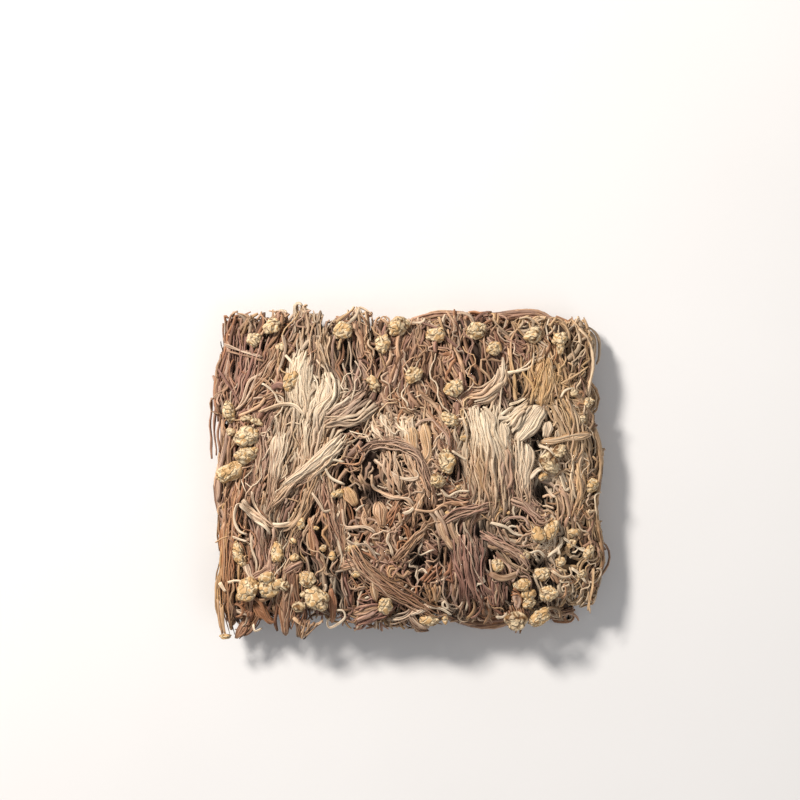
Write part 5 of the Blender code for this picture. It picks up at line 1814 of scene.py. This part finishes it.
class Bunch:
    """The whole bunch: every clump's stems and caps."""

    def __init__(self) -> None:
        """Makes the flow and the finishes."""
        self.flow = Flow()
        self.stem_materials = {slot: finish.build() for slot, finish in STEM_FINISHES.items()}
        self.cap_material = CapFinish("dried_caps").build()

    def build(self) -> None:
        """Builds and reports every clump's pieces."""
        for clump in UPPER_CLUMPS:
            self._upper(clump)
        for clump in UNDER_CLUMPS:
            self._under(clump)

    def _finish(
        self, stack: MeshStack, name: str, material: bpy.types.Material
    ) -> bpy.types.Object:
        """Turns a stack into a piece that rides on the body.

        Args:
            stack: The skins.
            name: The piece's name.
            material: Its finish.

        Returns:
            The piece.
        """
        piece = stack.object(name, material)
        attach(piece, BODY)
        triangles = sum(len(polygon.vertices) - 2 for polygon in piece.data.polygons)
        log.info("%s: %d triangles", name, triangles)
        return piece

    def _finish_stems(self, clump: Clump, grower: StemGrower) -> None:
        """Makes the piece of a clump's stems, which is seen instead of the clump's own solid."""
        material = self.stem_materials[clump.slot]
        piece = self._finish(grower.stack, f"{clump.name}_stems", material)
        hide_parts(clump.name)

    def _finish_caps(self, clump: Clump, shapes: Sequence[CapShape], rng: np.random.Generator) -> None:
        """Makes the piece of a clump's caps."""
        stack = MeshStack()
        for shape in shapes:
            shape.build(stack, rng)
        self._finish(stack, f"{clump.name}_caps", self.cap_material)

    def _upper(self, clump: ColumnClump) -> None:
        """Builds an upper clump.

        Args:
            clump: The clump.
        """
        rng = np.random.default_rng(clump.seed)
        grower = StemGrower(rng, MeshStack())
        ClumpCore(clump).build(grower.stack, rng)
        width = float(half_sizes(clump, np.array(0.5))[0])
        TopStems(clump, self.flow, 2 * width * clump_length(clump)).build(grower)
        for side, seam in ((-1, clump.left), (1, clump.right)):
            count = OUTER_SIDE_STEMS if seam in (0, len(SEAMS) - 1) else 8
            SideStems(clump, count, edge_range(side, 0.9), (-0.9, 0.7)).build(grower)
        HeadStems(clump, int(width * 4.5)).build(grower)
        if abs(clump.root) > 60:
            HeadStems(clump, int(width * 5.5), at_root=True).build(grower)
        PlacedStems(grower).build(clump)
        self._finish_stems(clump, grower)
        caps = [cap for cap in CAPS if owner(cap.x, cap.y) is clump]
        if caps:
            self._finish_caps(clump, (cap.shape(rng) for cap in caps), rng)

    def _under(self, clump: RowClump) -> None:
        """Builds a clump underneath.

        Args:
            clump: The clump.
        """
        rng = np.random.default_rng(clump.seed)
        grower = StemGrower(rng, MeshStack())
        ClumpCore(clump).build(grower.stack, rng)
        SideStems(clump, 56, (-0.95, 0.95), (-0.99, -0.8)).build(grower)
        for side, edge in ((1, clump.row), (-1, clump.row + 1)):
            outer = edge in (0, len(ROW_EDGES) - 1)
            count = OUTER_SIDE_STEMS if outer else 6
            SideStems(clump, count, edge_range(side, 0.88), (-0.9, 0.9)).build(grower)
            if outer:
                SideStems(clump, 46, edge_range(side, 0.62), (0.8, 0.99)).build(grower)
        HeadStems(clump, 64).build(grower)
        self._finish_stems(clump, grower)
        places = rng.uniform(-0.9, 0.9, UNDER_CAPS)
        self._finish_caps(clump, (self._under_cap(clump, u, rng) for u in places), rng)

    @staticmethod
    def _under_cap(clump: RowClump, u: float, rng: np.random.Generator) -> CapShape:
        """A cap that faces outwards at the head of a clump underneath.

        Args:
            clump: The clump.
            u: Where across the clump it sits, from -1 to 1.
            rng: Random draws.

        Returns:
            The cap's shape.
        """
        diameter = rng.uniform(3.6, 8.4)
        centre = clump.place(1.0 + rng.uniform(-0.05, 0.03), u, rng.uniform(-0.5, 0.6))
        facing = (float(clump.side), rng.uniform(-0.5, 0.5), rng.uniform(-0.2, 0.8))
        turn, paleness = rng.uniform(0, 180), rng.uniform(0.4, 0.8)
        return CapShape(tuple(centre), diameter, facing, 14, 1.12, turn, (paleness, 0.4))


@dataclass(frozen=True)
class Studio:
    """The floor, the lights and the camera."""

    # The spot under the middle of the picture, in metres
    look_at: tuple[float, float] = (-0.00425, 0.03275)
    height: float = 0.92  # Height of the lens over the floor, in metres
    view_width: float = 0.36  # Width of what the picture takes in at the bunch's middle height, in metres
    middle_height: float = 0.022  # That height
    floor_half: float = 2.5  # Half the floor's side, in metres
    floor_drop: float = 0.0005  # How far the floor lies under the bunch, in metres

    def build(self) -> None:
        """Makes everything round the bunch."""
        self._floor()
        self._lights()
        self._camera()

    def _floor(self) -> None:
        """A wide floor just under the bunch."""
        mesh = bpy.data.meshes.new("floor")
        half = self.floor_half
        corners = [(x * half, y * half, -self.floor_drop) for x, y in ((-1, -1), (1, -1), (1, 1), (-1, 1))]
        mesh.from_pydata(corners, [], [(0, 1, 2, 3)])
        mesh.materials.append(FloorFinish().build())
        floor = bpy.data.objects.new("floor", mesh)
        bpy.context.scene.collection.objects.link(floor)

    def _lights(self) -> None:
        """A soft key from the upper left, a weaker fill from the lower right, and dim air."""
        self._area("key_light", (-0.80, 0.85, 0.95), 0.26, 32.0, (1.0, 0.945, 0.895))
        self._area("fill_light", (0.9, -0.7, 1.0), 1.1, 4.5, (0.97, 0.97, 1.0))
        world = bpy.data.worlds.new("studio_air")
        world.use_nodes = True
        air = world.node_tree.nodes["Background"]
        air.inputs["Color"].default_value = (0.96, 0.95, 0.96, 1.0)
        air.inputs["Strength"].default_value = 0.30
        bpy.context.scene.world = world

    @staticmethod
    def _area(name: str, spot: tuple[float, float, float], size: float, power: float, colour: Colour) -> None:
        """A square light that shines on the bunch.

        Args:
            name: The light's name.
            spot: Where it hangs, in metres.
            size: Its side in metres.
            power: Its power in watts.
            colour: Its colour.
        """
        light = bpy.data.lights.new(name, "AREA")
        light.size = size
        light.energy = power
        light.color = colour
        lamp = bpy.data.objects.new(name, light)
        lamp.location = spot
        lamp.rotation_euler = (-Vector(spot)).to_track_quat("-Z", "Y").to_euler()
        bpy.context.scene.collection.objects.link(lamp)

    def _camera(self) -> None:
        """A camera that looks straight down, framed as the photograph is."""
        lens = bpy.data.cameras.new("camera")
        lens.sensor_width = 36.0
        lens.sensor_fit = "HORIZONTAL"
        lens.lens = lens.sensor_width * (self.height - self.middle_height) / self.view_width
        camera = bpy.data.objects.new("camera", lens)
        camera.location = (*self.look_at, self.height)
        bpy.context.scene.collection.objects.link(camera)
        bpy.context.scene.camera = camera


def main() -> None:
    """Loads the frame, dresses every clump and sets up the studio."""
    logging.basicConfig(level=logging.INFO, format="%(name)s: %(message)s")
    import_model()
    Bunch().build()
    Studio().build()
    scene = bpy.context.scene
    scene.view_settings.view_transform = "Standard"


if __name__ == "__main__":
    main()
